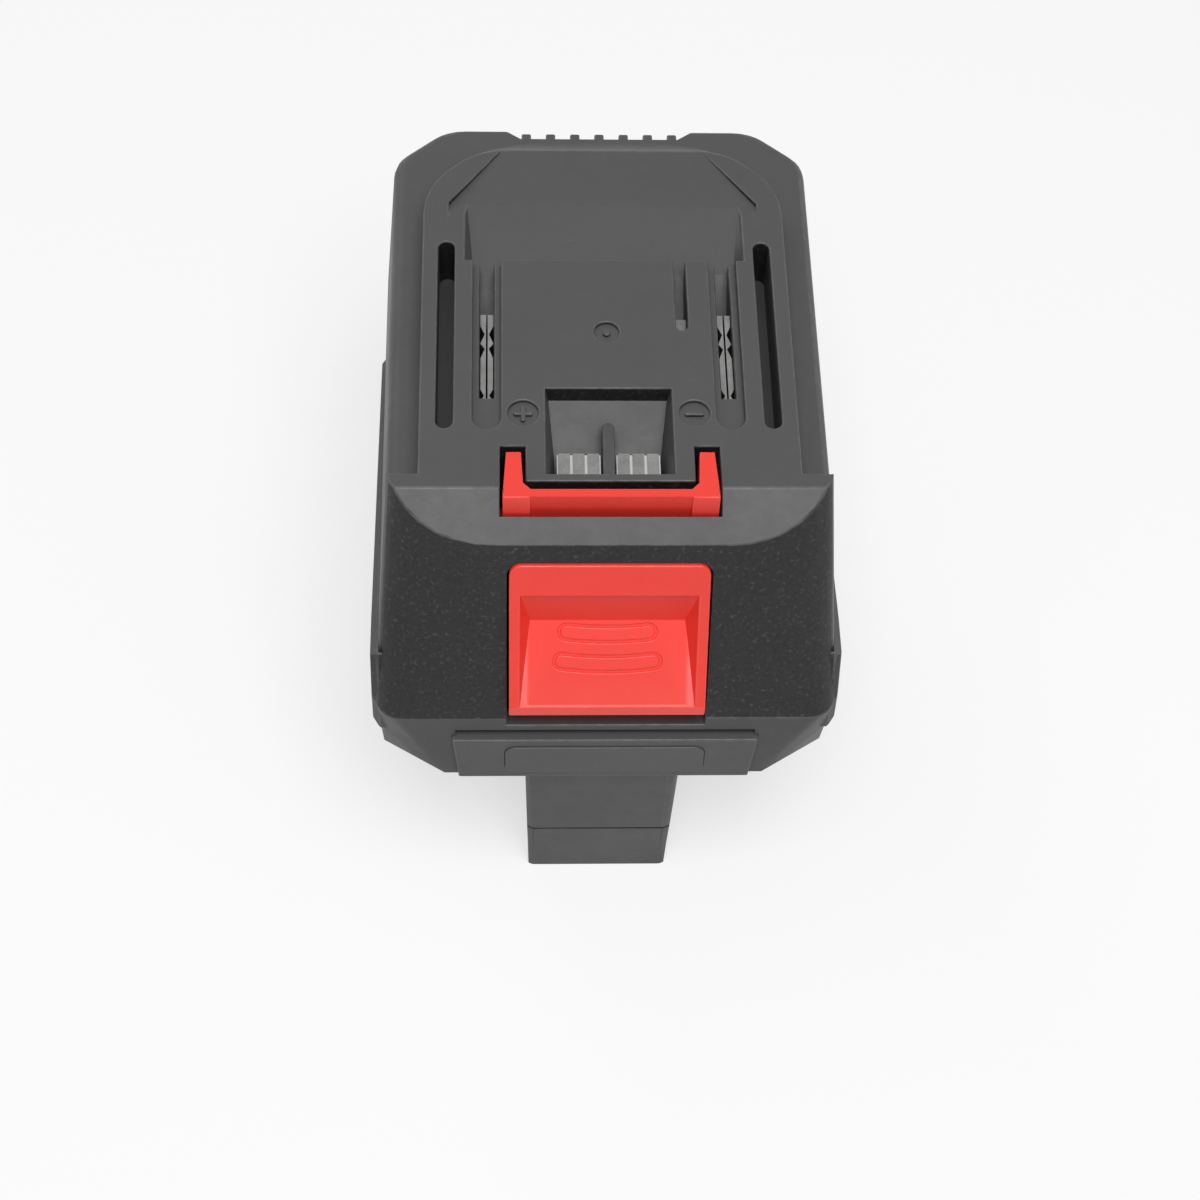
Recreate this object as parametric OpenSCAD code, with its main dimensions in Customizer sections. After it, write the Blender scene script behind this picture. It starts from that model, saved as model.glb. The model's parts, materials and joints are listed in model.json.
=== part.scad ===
// Tool battery adapter: slide plate on top, sprung release latch, neck with a pack slide on each side.
// Millimetres. X to the right, Y to the rear, Z up, origin under the middle of the foot.

/* [Housing] */
// Widest width of the housing, over the side pads
body_w = 79; // [76:0.2:84]
// How far the side pads stand proud of the rim
pad_t = 0.6; // [0.3:0.1:0.8]
// Width of the collar at the plate's level
collar_w = 72; // [70:0.2:73]
// Width of the flat underside
base_w = 76; // [72:0.5:77]
// Length of the housing along the underside
body_l = 106; // [102:0.5:112]
// Height from the underside to the plate's top
housing_h = 52.5; // [51:0.5:58]
// Height of the lower cover
lower_h = 15.5; // [14:0.5:17]
// Height of the side pads below the lower cover's rim
pad_h = 7; // [5:0.5:9]
// Height of the side pads above the rim, in front
pad_up = 9.5; // [7:0.5:11]
// Height of the side pads above the rim, at the rear
pad_rear_up = 1; // [0.5:0.5:3]
// Front face to the side pads
pad_in = 3; // [2.6:0.2:5]
// Rear face to the side pads
pad_rear_in = 28; // [24:0.5:40]
// Length of the side pads' level top edge
pad_level_l = 7; // [4:0.5:10]
// Bevel round a side pad
pad_bevel = 1.4; // [1:0.1:1.8]
// Wall of both covers
wall = 2.4; // [2:0.1:3]
// Wall at the rear grip
rear_wall = 5; // [4.6:0.1:6]
// Floor of the lower cover
floor_t = 2.5; // [2:0.1:3.5]
// Run of the lower front's lean
lower_lean = 2; // [1:0.1:3]
// Run of the upper front's lean
front_lean = 13.9; // [12:0.1:15]
// Front corner rounding at the plate's level along X
collar_corner_x = 20; // [16:0.5:22]
// Front corner rounding at the plate's level along Y
collar_corner_y = 8.5; // [7:0.1:10]
// Front corner radius at the lower cover's rim
front_low_r = 4.5; // [4:0.1:6]
// Front corner chamfer of the underside along X
base_corner_x = 10.6; // [8:0.2:12]
// Front corner chamfer of the underside along Y
base_corner_y = 6.5; // [5.5:0.1:8]
// Set-back of the underside's rear edge
base_back = 1; // [0.5:0.1:2]
// Rear corner chamfer along X
corner_x = 8.2; // [6:0.1:9]
// Rear corner chamfer along Y
corner_y = 7; // [5:0.1:8]
// Rounding of the rear corner chamfers' ends
corner_soft = 2.5; // [1.5:0.1:3]
// Rounding of the shoulders' outer edges, inwards
rim_in = 2.2; // [1.5:0.1:2.6]
// Rounding of the shoulders' outer edges, downwards
rim_down = 2.4; // [1.5:0.1:2.8]
// Rounding of the shoulders' rear edge, inwards
rim_rear = 0.4; // [0.3:0.1:1]
// Depth of the rear grip
grip_d = 2; // [1.5:0.1:2.6]
// Width of the rear grip's floor
grip_w = 28.2; // [24:0.2:32]
// Run of the rear grip's side slopes
grip_slope = 2.9; // [2:0.1:4]
// Height of the rear grip
grip_h = 24; // [18:0.5:26]
// Width of a grip rib
rib_w = 1.7; // [1.2:0.1:2.2]
// Height of a grip rib
rib_h = 1.1; // [0.6:0.1:1.4]
// Spacing of the grip ribs
rib_pitch = 4.36; // [3.6:0.02:4.6]

/* [Slide plate] */
// Width over the side lips
plate_w = 62; // [60:0.5:64]
// Thickness of the side lips
lip_t = 1.8; // [1.6:0.1:2.2]
// Overhang of the side lips
lip_over = 1.7; // [1.2:0.1:1.9]
// Height of the grooves under the lips
groove_h = 4.3; // [4.2:0.1:5]
// Drop from the plate to the collar's front edge
collar_drop = 5; // [4:0.1:6]
// Collar edge to the plate's front
collar_run = 7.8; // [7:0.1:10]
// Depth of the collar behind the plate's front edge
collar_back = 2.8; // [2:0.1:3.5]
// Plate front to the ends of the rail horns
horn_l = 59.8; // [58:0.2:61]
// Plate front to the rear edge of the middle plateau
plateau_l = 47.1; // [45:0.2:49]
// Width between the rail horns
pocket_w = 47.6; // [46.8:0.2:48]
// Depth of the ramp at the plateau's rear edge
pocket_d = 4; // [3:0.1:4.5]
// Lean of the horns' inner walls
horn_draft = 1.5; // [0.8:0.1:1.6]
// Drop from the plate to the rear deck
deck_drop = 0.9; // [0.5:0.1:1.2]
// Slope run of the plate's rear end
deck_run = 7.5; // [6:0.5:9]
// Foot of the plate's rear end to the rear face
deck_back = 3; // [2.4:0.1:5]
// Radius of the lips' rear corners
deck_r = 14; // [11:0.5:15]
// Radius of the rear end's foot
deck_foot_r = 18; // [14:0.5:20]
// Plate's rear edge to the lips' ends
lip_back = 0.5; // [0.3:0.1:1]
// Reach of the rear end under the plate
deck_lap = 2; // [1:0.5:3]
// Run of the horns' end bevels
horn_bevel = 2.5; // [1.5:0.1:3]
// Width of the rear ramp over the horns' end bevels
ramp_w = 53.2; // [51:0.2:55]
// Width of the rear ramp at its rear end
ramp_end_w = 35; // [30:0.5:40]
// Thickness of the plate over the inner hollow
plate_t = 12; // [11.6:0.1:13]

/* [Slots] */
// Distance between the two terminal slots
slot_pitch = 40; // [39:0.2:41]
// Width of a terminal groove
term_groove_w = 4.7; // [4.2:0.1:5]
// Depth of a terminal groove
term_groove_d = 1.6; // [1:0.1:2]
// Width of a terminal slot
term_slot_w = 2.4; // [2.2:0.1:2.8]
// Plate front to the terminal grooves' front ends
term_in = 11.6; // [11:0.2:13]
// Groove end to the slot's front end
term_lead = 7.4; // [6.4:0.2:8]
// Length of the open part of a terminal slot
term_open_l = 20.6; // [20:0.1:21.6]
// Depth of the slot ramp where it meets the opening
ramp_d = 10; // [8:0.1:11]
// Play of a clip at the slot's sides
slot_play = 0.1; // [0.05:0.05:0.2]
// Slot's front end to the clip
clip_in = 0.4; // [0.3:0.1:0.6]
// Clip to the slot's rear end
clip_rear = 2.2; // [2:0.1:2.6]
// Offset of the third slot from the middle
third_x = 12.7; // [12.2:0.1:13.2]
// Width of the third slot
third_w = 2; // [1.6:0.1:2.4]
// Length of the third slot from the plateau's rear edge
third_l = 15.1; // [14:0.1:17]
// Length of the third slot's opening
third_open_l = 5; // [4.4:0.1:6]
// Distance between the long slots
long_pitch = 53.8; // [53:0.2:54]
// Width of a long slot
long_w = 2.8; // [2.4:0.1:3]
// Length of a long slot
long_l = 39.1; // [36:0.1:41]
// Depth of a long slot
long_d = 10; // [8:0.2:11]
// Plate front to the long slots' front ends
long_in = 11.8; // [11:0.1:13]

/* [Marks] */
// Distance between the two polarity marks
mark_pitch = 28.04; // [27.6:0.02:28.6]
// Diameter of a mark
mark_dia = 5.06; // [4.6:0.02:5.2]
// Depth of a mark
mark_d = 0.6; // [0.4:0.1:1]
// Length of a mark's bars
mark_bar_l = 3.2; // [2.6:0.1:3.6]
// Width of a mark's bars
mark_bar_w = 0.8; // [0.5:0.1:1]
// Plate front to the marks
mark_in = 14.8; // [14.4:0.1:15.4]
// Diameter of the gate dish
gate_dia = 4.2; // [3.4:0.1:5]
// Diameter of the gate nub
gate_nub = 1.3; // [0.8:0.1:1.8]
// Plate front to the gate dish
gate_in = 31.5; // [30:0.1:33]

/* [Signal well] */
// Width of the well
well_w = 20.8; // [20:0.1:21.4]
// Length of the well
well_l = 17; // [16:0.1:18]
// Depth of the well
well_d = 9.4; // [8.6:0.1:10]
// Plate front to the well
well_in = 2.75; // [2.5:0.05:3.2]
// Length of the well's ramp
well_ramp_l = 8; // [6:0.1:8.6]
// Width of the well's middle rib
well_rib_w = 2; // [1.6:0.1:2.2]
// Length of the well's middle rib
well_rib_l = 13; // [11:0.5:14]
// Drop from the plate to the middle rib's top
well_rib_drop = 4; // [3.5:0.1:4.4]
// Lean of the well's side walls
well_draft = 1.6; // [1:0.1:1.8]
// Height of the well's rear wall
well_rear_h = 3.4; // [2.6:0.1:4]
// Play round the socket blocks
socket_gap = 0.3; // [0.2:0.05:0.4]
// Height of the socket blocks
socket_h = 3.8; // [3:0.1:4.2]
// Length of the socket blocks
socket_l = 7.2; // [6.4:0.1:7.6]
// Contacts in one socket block
socket_n = 3; // [2:1:3]
// Width of a signal contact's tail
contact_w = 1.2; // [0.8:0.1:1.4]
// Depth of a signal contact's tail
contact_t = 0.8; // [0.5:0.1:1.2]
// Spacing of the signal contacts
contact_pitch = 2.4; // [2.3:0.05:2.5]
// Gap between two signal contacts' pads
contact_gap = 0.5; // [0.4:0.1:0.7]
// Thickness of a signal contact's pad
contact_pad_t = 0.5; // [0.3:0.1:0.6]

/* [Latch] */
// Height of the catch above the plate
catch_h = 1.2; // [0.8:0.1:2]
// Plate front to the catch's bar
catch_in = 1; // [0.8:0.1:1.2]
// Travel of the latch
latch_travel = 3.5; // [3:0.1:4]
// Width over the catch's arms
catch_w = 34.8; // [34:0.2:36]
// Width of an arm beside the bar
arm_w = 3.3; // [2.8:0.1:3.6]
// Width of an arm at its rear end
arm_end_w = 2.4; // [1.8:0.1:2.8]
// How far the arms lean in towards the rear
arm_lean = 0.6; // [0.3:0.1:0.8]
// Length of the arms behind the bar
arm_l = 7.2; // [6:0.1:8.2]
// Chamfer between an arm and the bar
arm_web = 1.2; // [0.6:0.1:1.6]
// Depth of the catch's bar
bar_d = 1.8; // [1.6:0.1:2.2]
// Set-back of the bar's front between the corner blocks
bar_back = 0.2; // [0.1:0.05:0.3]
// Width of the catch's corner blocks
corner_w = 4.4; // [3.8:0.1:5]
// How far the corner blocks' faces lean out
corner_lean = 0.6; // [0.3:0.1:0.8]
// Height of the corner blocks' leaning faces
corner_face_h = 3.6; // [3:0.1:4]
// Clearance round the latch
latch_gap = 0.4; // [0.3:0.05:0.6]
// Gap behind the catch's bar
catch_back_gap = 2.2; // [1.8:0.1:2.4]
// Gap behind the catch's arms
arm_back_gap = 1.9; // [1.2:0.1:2.1]
// Reach of the carriage in front of the catch
carriage_in = 2.8; // [2:0.1:3]
// Depth of the latch's carriage
carriage_l = 10; // [9:0.1:11]
// Width of the latch's carriage
carriage_w = 46; // [44:0.5:50]
// Thickness of the latch's carriage
carriage_t = 4; // [3:0.1:5]
// Width of the thumb button
button_w = 32.7; // [30:0.1:34]
// Drop from the plate to the button's top
button_drop = 8.5; // [8:0.1:9]
// Radius of the button's upper corners
button_r = 2; // [1:0.1:3]
// Radius of the button's lower corners
button_low_r = 1; // [0.6:0.1:1.6]
// How far the button's flange stands proud
flange_out = 0.3; // [0.1:0.1:0.6]
// Height of the thumb button
button_h = 26.6; // [25:0.1:27.5]
// Height of the button's top flange
flange_h = 5.2; // [4:0.1:6]
// How far the button's lip stands proud
lip_out = 2.7; // [2:0.1:3]
// Width of the thumb scoop's floor
scoop_w = 25.8; // [22:0.2:27]
// Width of the thumb scoop's mouth
scoop_mouth_w = 29.4; // [28:0.2:30]
// Height of the scoop's back wall
scoop_back_h = 9; // [7:0.1:10]
// Depth of the scoop below the flange
scoop_d = 0.6; // [0.2:0.1:1.5]
// Height of the button's lip
lip_h = 2.8; // [2:0.1:3.4]
// Thickness of the button's lip
lip_d = 0.8; // [0.6:0.1:1.2]
// Thickness of the button's foot behind the lip
foot_d = 3.5; // [3:0.1:4]
// Bevel of the button's lower edge
lip_bevel = 0.5; // [0.3:0.1:0.8]
// Width of the upper grip mark
thumb_mark_w = 16.6; // [14:0.2:17.6]
// Width of the lower grip mark
thumb_low_w = 18.2; // [16:0.2:20]
// Height of a grip mark
thumb_mark_h = 3; // [2.4:0.1:3.4]
// Width of a grip mark's line
thumb_line_w = 0.4; // [0.3:0.05:0.6]
// Depth of a grip mark's line
thumb_line_d = 0.35; // [0.2:0.05:0.5]
// Radius of the grip marks' curve
thumb_mark_r = 60; // [40:1:90]
// Thickness of the button's inner skirt
skirt_t = 1.6; // [1.2:0.1:2]
// Overlap of the skirt behind the button
skirt_lap = 4.5; // [4:0.1:5]
// Set-back of the web and skirt at the button's sides
web_in = 1; // [0.8:0.1:1.5]
// Depth of the web below the button's flange
web_h = 2; // [1.5:0.1:2.5]
// Distance between the latch springs
spring_pitch = 38; // [36:0.5:40]
// Outer diameter of a latch spring
spring_dia = 5.6; // [4.8:0.1:6]
// Wire of a latch spring
spring_wire = 0.7; // [0.5:0.1:0.9]
// Length of a latch spring at rest
spring_l = 18; // [16:0.5:20]
// Play of the spring posts' pins
pin_gap = 0.4; // [0.3:0.05:0.6]
// Rim of a spring post round its spring
post_rim = 0.6; // [0.4:0.1:0.8]

/* [Front plate] */
// Width of the raised bar
bar_w = 52; // [48:0.5:54]
// Height of the raised bar
bar_h = 10.4; // [10:0.1:10.8]
// How far the bar stands proud
bar_t = 1; // [0.6:0.1:1.6]
// Depth of the bar's seat in the wall
bar_seat = 1.2; // [0.8:0.1:1.4]
// Taper of the bar's ends
bar_taper = 1; // [0:0.1:2]
// Underside of the housing to the bar
bar_up = 0.3; // [0.2:0.05:0.5]
// Height of the shadow groove above the bar
shadow_h = 1.4; // [1.2:0.1:1.6]
// Set-in of the shadow groove's ends
shadow_in = 0.7; // [0.5:0.1:1]
// Width of the badge
badge_w = 34; // [30:0.5:38]
// Height of the badge
badge_h = 7; // [5:0.1:8]
// Thickness of the badge
badge_t = 0.8; // [0.6:0.1:1]
// How far the badge stands proud
badge_proud = 0.3; // [0.2:0.05:0.4]

/* [Stem] */
// Height of the stem under the housing
stem_h = 39.5; // [38.5:0.5:45]
// Width of the stem's top
stem_top_w = 27.2; // [26:0.1:29]
// Width of the stem's bottom
stem_bottom_w = 25.3; // [24:0.1:26]
// Housing front to the stem's front
stem_in = 1.5; // [0.5:0.1:4]
// Length of the stem
stem_l = 87; // [84:0.5:92]
// Length of the stem's front block
nose_l = 23; // [21:0.5:24]
// Front edge radius of the stem
nose_r = 2.2; // [1:0.1:3]
// Width of the stem's rear spine
spine_w = 20; // [19:0.2:21.6]
// Height of the foot below the seam
foot_h = 15.2; // [14.6:0.1:17]
// Depth of the seam line
seam_d = 0.4; // [0.2:0.1:0.6]
// Height of the seam line
seam_h = 0.6; // [0.4:0.1:1]
// Wall of the stem
stem_wall = 3; // [2.6:0.1:3.2]
// Roof of the stem's hollows
stem_roof = 3.5; // [3:0.1:5]
// Thickness of the stem's cross walls
cross_t = 8; // [7.6:0.1:9]
// Front block to the first cross wall's middle
cross_in = 14; // [13:0.5:15]
// Distance between the two cross walls
cross_pitch = 24; // [22:0.5:26]
// Stem's front to the middle of the front block's screw wall
nose_screw_in = 11; // [10:0.1:12]
// Distance between the front block's two upper screws
nose_screw_pitch = 13.2; // [12.6:0.1:14]
// How much wider the front block's hollows are than the spine's, on each side
nose_pocket = 1; // [0.5:0.1:1.2]

/* [Pack slides] */
// Thickness of a rail's back plate
rail_t = 4; // [3.4:0.1:5]
// Housing to the rails' upper edges
rail_drop = 3.5; // [3:0.1:5]
// Height of the rails above the stem's underside
rail_up = 3; // [2:0.1:4]
// Depth of a channel
channel_d = 8; // [7.6:0.1:9]
// Thickness of the rail's flanges
flange_t = 3; // [2.4:0.1:3.4]
// Height of the rail's inward lips
rail_lip_h = 3.5; // [2.5:0.1:4]
// Thickness of the rail's inward lips
rail_lip_t = 2.6; // [2:0.1:3]
// Gap between the stem's front block and the rails
rail_front_gap = 2; // [1:0.1:3]
// Length of a blade holder
holder_l = 10; // [9.6:0.1:12]
// Play of a blade holder in its channel
holder_gap = 0.1; // [0.05:0.05:0.3]
// Width of a blade
blade_w = 3.6; // [3:0.1:3.8]
// Thickness of a power blade
blade_t = 0.9; // [0.7:0.1:1.2]
// Length of a power blade out of its holder
blade_l = 14; // [12:0.5:18]
// Distance between the two power blades
blade_pitch = 14; // [12:0.2:15]
// Length of a signal blade out of its holder
signal_blade_l = 9; // [7:0.5:12]
// Play of a blade in its holder
blade_gap = 0.1; // [0.05:0.05:0.2]
// Back plate to a blade's inner edge
blade_off = 0.8; // [0.5:0.1:1]
// Width of a blade's tail
tail_w = 3; // [2.6:0.1:3.2]
// Diameter of a pack lead
lead_dia = 2.4; // [2:0.1:2.6]
// Clearance round a pack lead
lead_gap = 0.3; // [0.2:0.05:0.4]

/* [Board] */
// Gap between the board and the cover screws' bosses
board_gap = 0.7; // [0.5:0.1:1]
// Rear wall to the board's rear edge
board_rear = 3.2; // [2.6:0.1:5]
// Thickness of the circuit board
board_t = 1.6; // [1.2:0.1:2]
// Height of the board above the floor
board_up = 18; // [16:0.5:19]
// Catch bar to the board's front edge
board_in = 5.2; // [5:0.1:5.6]
// Width of the terminal block
block_w = 48; // [47:0.5:49]
// Front wall of the terminal block
block_wall = 2.4; // [2:0.1:3]
// Gap between the terminal block and the plate
block_gap = 0.3; // [0.2:0.05:0.4]
// Slit between a clip's leaves
pinch_gap = 0.3; // [0.2:0.05:0.4]
// Drop from the plate to a clip's top
clip_drop = 3; // [2.4:0.1:4]
// Height of a clip's base
clip_base_h = 8; // [6:0.2:9]
// Height of a clip's foot on the board
clip_foot_h = 2; // [1.5:0.1:2.5]
// Length of a clip's foot
clip_foot_l = 3; // [2:0.1:4]
// Length of the third slot's clip
third_clip_l = 3.6; // [3:0.1:4]
// Play of the clips in the terminal block
clip_gap = 0.1; // [0.05:0.05:0.2]
// Width of a power diode
diode_w = 10; // [8:0.5:11]
// Height of a power diode
diode_h = 9; // [7:0.5:11]
// Thickness of a power diode
diode_t = 4.6; // [4:0.1:5]
// Diameter of a capacitor
cap_dia = 8; // [6:0.5:9]
// Height of a capacitor
cap_h = 12; // [9:0.5:13]
// Spacing of the parts on the board
part_gap = 2; // [1.5:0.1:2.5]
// Length of the fuse
fuse_l = 16; // [12:0.5:18]
// Width of the fuse
fuse_w = 5; // [4:0.5:6]
// Height of the fuse
fuse_h = 6; // [5:0.5:8]

/* [Screws] */
// Radius of a screw's shank
screw_r = 1.5; // [1.2:0.1:1.7]
// Radius of a screw's head
head_r = 2.9; // [2.4:0.1:3.2]
// Height of a screw's head
head_h = 1.9; // [1.6:0.1:2.1]
// Play round a screw's shank
screw_gap = 0.05; // [0.03:0.01:0.1]
// Play round a sunk screw's head
head_gap = 0.3; // [0.2:0.05:0.5]
// Depth of a sunk head below the face
head_sink = 0.2; // [0.1:0.05:0.4]
// Width of a screw's cross slot
cross_w = 0.8; // [0.6:0.1:1]
// Depth of a screw's cross slot
cross_d = 1; // [0.6:0.1:1.2]
// Wall round a screw in a boss
boss_wall = 2.3; // [1.8:0.1:2.6]
// Bite of a screw in its boss
bite = 9; // [7:0.5:10]
// Bite of a screw in the stem
stem_bite = 8; // [7:0.5:9]
// Bite of a screw in the cross walls
rail_bite = 5.5; // [4:0.5:6]
// Distance between a rail's upper and lower screws
rail_screw_pitch = 16; // [14:0.5:17]
// Room past a screw's end
pilot_end = 0.5; // [0.3:0.1:1]
// Side wall to the cover screws
cover_screw_in = 9; // [8.4:0.1:10]
// Front and rear faces to the cover screws
cover_screw_end = 12; // [11.6:0.1:13]
// Screw in from the board's edge
board_screw_in = 4.4; // [4:0.1:5]

/* [Hidden] */
$fn = 48;
eps = 0.01;
cut = 1;
plate_z = stem_h + housing_h;
split_z = stem_h + lower_h;
side_w = body_w - 2 * pad_t;
pad_z = split_z - pad_h;
collar_z = plate_z - collar_drop;
lip_z = plate_z - lip_t;
shoulder_z = lip_z - groove_h;
roof_z = plate_z - plate_t;
front_y = bar_t - (body_l + bar_t) / 2;
rear_y = front_y + body_l;
split_front_y = front_y + lower_lean;
collar_front_y = split_front_y + front_lean;
plate_front_y = collar_front_y + collar_run;
collar_back_y = plate_front_y + collar_back;
horn_y = plate_front_y + horn_l;
plateau_y = plate_front_y + plateau_l;
core_w = plate_w - 2 * lip_over;
deck_end_y = rear_y - deck_back;
deck_top_y = deck_end_y - deck_run;
pad_end_y = rear_y - pad_rear_in;
// Front line of the upper cover: y at a height
function front_at(z) = collar_front_y - (collar_z - z) * front_lean / (collar_z - split_z);
// Front line of the lower cover: y at a height
function low_at(z) = front_y + (z - stem_h) * lower_lean / lower_h;
lean_gap = wall * sqrt(1 + pow(front_lean / (collar_z - split_z), 2));
low_gap = wall * sqrt(1 + pow(lower_lean / lower_h, 2));
low_tilt = atan(lower_lean / lower_h);

term_x = slot_pitch / 2;
term_y = plate_front_y + term_in;
slot_y = term_y + term_lead;
slot_end_y = slot_y + term_open_l;
third_y = plateau_y - third_l;
long_y = plate_front_y + long_in;
mark_y = plate_front_y + mark_in;
gate_y = plate_front_y + gate_in;
well_y = plate_front_y + well_in;
well_end_y = well_y + well_l;
well_z = plate_z - well_d;
socket_w = well_w / 2 - well_draft - well_rib_w / 2 - 2 * socket_gap;
socket_x = well_rib_w / 2 + socket_gap + socket_w / 2;
socket_z = well_z + socket_h;

catch_y = plate_front_y - catch_in;
catch_front_y = catch_y - bar_d;
catch_z = plate_z + catch_h;
arm_end_y = catch_y + arm_l;
carriage_y = catch_front_y - carriage_in;
carriage_z = roof_z - latch_gap;
button_z = plate_z - button_drop;
button_low_z = button_z - button_h;
window_z = button_z + latch_gap;
window_low_z = button_low_z - latch_travel - latch_gap;
flange_z = button_z - flange_h;
scoop_z = flange_z - scoop_back_h;
lip_y = front_at(button_low_z + lip_h) - lip_out;
button_back_y = front_at(button_z) + lean_gap;
skirt_y = low_at(window_low_z) + low_gap + bar_seat + latch_gap;
spring_z = carriage_z - carriage_t - spring_l;
spring_y = carriage_y + carriage_l / 2;
pin_r = spring_dia / 2 - spring_wire - pin_gap;

bar_z = stem_h + bar_up;
bar_top_z = bar_z + bar_h;

stem_y = front_y + stem_in;
stem_end_y = stem_y + stem_l;
nose_y = stem_y + nose_l;
spine_x = spine_w / 2;
pocket_x = spine_x - stem_wall;
rail_y = nose_y + rail_front_gap;
rail_l = stem_end_y - rail_y;
rail_x = spine_x + rail_t;
rail_out = rail_x + channel_d;
rail_top_z = stem_h - rail_drop;
rail_mid_z = (rail_up + rail_top_z) / 2;
holder_y = stem_end_y - holder_l;
blade_x = rail_x + blade_off;
// Lead places by blade: 1 positive (upper), 0 signal (middle), -1 negative (lower)
function blade_z(k) = rail_mid_z + k * blade_pitch / 2;
function lead_x(k) = pocket_x - lead_gap - lead_dia / 2 - (k < 0 ? lead_dia + lead_gap : 0);
function lead_y(k) = k == 0 ? holder_y + tail_w / 2 + lead_gap : stem_end_y - stem_wall - tail_w / 2 - lead_gap;
wall_ys = [nose_y + cross_in, nose_y + cross_in + cross_pitch];

board_z = stem_h + floor_t + board_up;
board_top_z = board_z + board_t;
board_y = catch_y + board_in;
board_end_y = rear_y - rear_wall - board_rear;
block_y = slot_y - block_wall;
block_end_y = slot_end_y + block_wall;
block_h = roof_z - board_top_z - block_gap;
block_z = board_top_z + block_h;
clip_z = plate_z - clip_drop;
clip_base_z = board_top_z + clip_foot_h;
clip_y = slot_y + clip_in;
clip_l = term_open_l - clip_in - clip_rear;
clip_x = term_slot_w / 2 - slot_play;
third_clip_x = third_w / 2 - slot_play;
third_clip_y = third_y + third_w / 2 - slot_play;
boss_r = screw_r + boss_wall;

cover_screw_xs = [-1, 1];
cover_screw_ys = [split_front_y + cover_screw_end, rear_y - cover_screw_end];
cover_screw_x = body_w / 2 - cover_screw_in;
board_x = cover_screw_x - boss_r - board_gap;
sink = head_h + head_sink;
nose_screw_y = stem_y + nose_screw_in;
stem_screws_at = [[-nose_screw_pitch / 2, nose_screw_y], [nose_screw_pitch / 2, nose_screw_y],
    [0, wall_ys[0]], [0, wall_ys[1]]];
foot_screws_at = [[0, nose_screw_y], [0, wall_ys[0]], [0, wall_ys[1]]];
board_screw_xs = [board_screw_in - board_x, board_x - board_screw_in];
board_screw_ys = [board_y + board_screw_in, board_end_y - board_screw_in];

plastic = [0.2, 0.2, 0.21];
dark = [0.13, 0.13, 0.14];
red = [0.8, 0.12, 0.09];
silver = [0.75, 0.76, 0.78];

// Box from its two corners
module box(a, b) {
    translate(a) cube(b - a);
}

// Side outline (Y, Z) drawn out along X, centred
module along_x(w) {
    rotate([90, 0, 90]) translate([0, 0, -w / 2]) linear_extrude(w) children();
}

// Front outline (X, Z) drawn out along Y from y0 to y1
module along_y(y0, y1) {
    translate([0, y1, 0]) rotate([90, 0, 0]) linear_extrude(y1 - y0) children();
}

// Plan slot with round ends
module slot_plan(x, y0, y1, w) {
    translate([x - w / 2, y0 + w / 2]) square([w, y1 - y0 - w]);
    translate([x, y0 + w / 2]) circle(w / 2);
    translate([x, y1 - w / 2]) circle(w / 2);
}

// Arc of an ellipse, in eight steps
function arc(cx, cy, rx, ry, a0, a1) = [for (i = [0:8])
    [cx + rx * cos(a0 + (a1 - a0) * i / 8), cy + ry * sin(a0 + (a1 - a0) * i / 8)]];
// Corner v between a and b, rounded off from a distance t
function soft(a, v, b, t) = [for (u = [0:0.25:1])
    let(p = v + t * (a - v) / norm(a - v), q = v + t * (b - v) / norm(b - v))
    pow(1 - u, 2) * p + 2 * u * (1 - u) * v + u * u * q];
function mirrored(pts) = [for (i = [len(pts) - 1:-1:0]) [-pts[i][0], pts[i][1]]];
// Right rear corner of the housing: a chamfer with soft ends
function rear_corner(w, yr) = let(a = [w / 2, yr - corner_y], b = [w / 2 - corner_x, yr])
    concat(soft([w / 2, 0], a, b, corner_soft), soft(a, b, [0, yr], corner_soft));
// Plan of the housing: round front corners, chamfered rear corners
function plan(w, yf, yr, rx, ry) = concat(
    arc(rx - w / 2, yf + ry, rx, ry, 180, 270), arc(w / 2 - rx, yf + ry, rx, ry, 270, 360),
    rear_corner(w, yr), mirrored(rear_corner(w, yr)));
// Plan of the underside: chamfered corners all round
function base_plan(w, yf, yr) = let(c = [[w / 2 - base_corner_x, yf], [w / 2, yf + base_corner_y]])
    concat(mirrored(c), c, rear_corner(w, yr), mirrored(rear_corner(w, yr)));
// Width of the upper cover at a height
function width_at(z) = side_w + (collar_w - side_w) * (z - split_z) / (plate_z - split_z);

module slice(z, pts) {
    translate([0, 0, z]) linear_extrude(eps) polygon(pts);
}

// Screw along -Z from its seat, head above
module screw(l) {
    difference() {
        union() {
            translate([0, 0, -l]) cylinder(r = screw_r, h = l + eps);
            cylinder(r = head_r, h = head_h);
        }
        translate([0, 0, head_h - cross_d]) {
            box([-head_r * 0.7, -cross_w / 2, 0], [head_r * 0.7, cross_w / 2, cross_d + cut]);
            box([-cross_w / 2, -head_r * 0.7, 0], [cross_w / 2, head_r * 0.7, cross_d + cut]);
        }
    }
}

// Outer form of the upper cover, bevelled down in front of the plate
module upper_form() {
    bevel_z = plate_z - (plate_front_y - front_y + cut) * collar_drop / collar_run;
    difference() {
        hull() {
            slice(split_z, plan(side_w, split_front_y, rear_y, front_low_r, front_low_r));
            slice(plate_z - eps, plan(collar_w, front_at(plate_z), rear_y, collar_corner_x, collar_corner_y));
        }
        along_x(2 * body_w) polygon([[plate_front_y, plate_z], [plate_front_y, plate_z + cut],
            [front_y - cut, plate_z + cut], [front_y - cut, bevel_z]]);
    }
}

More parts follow.
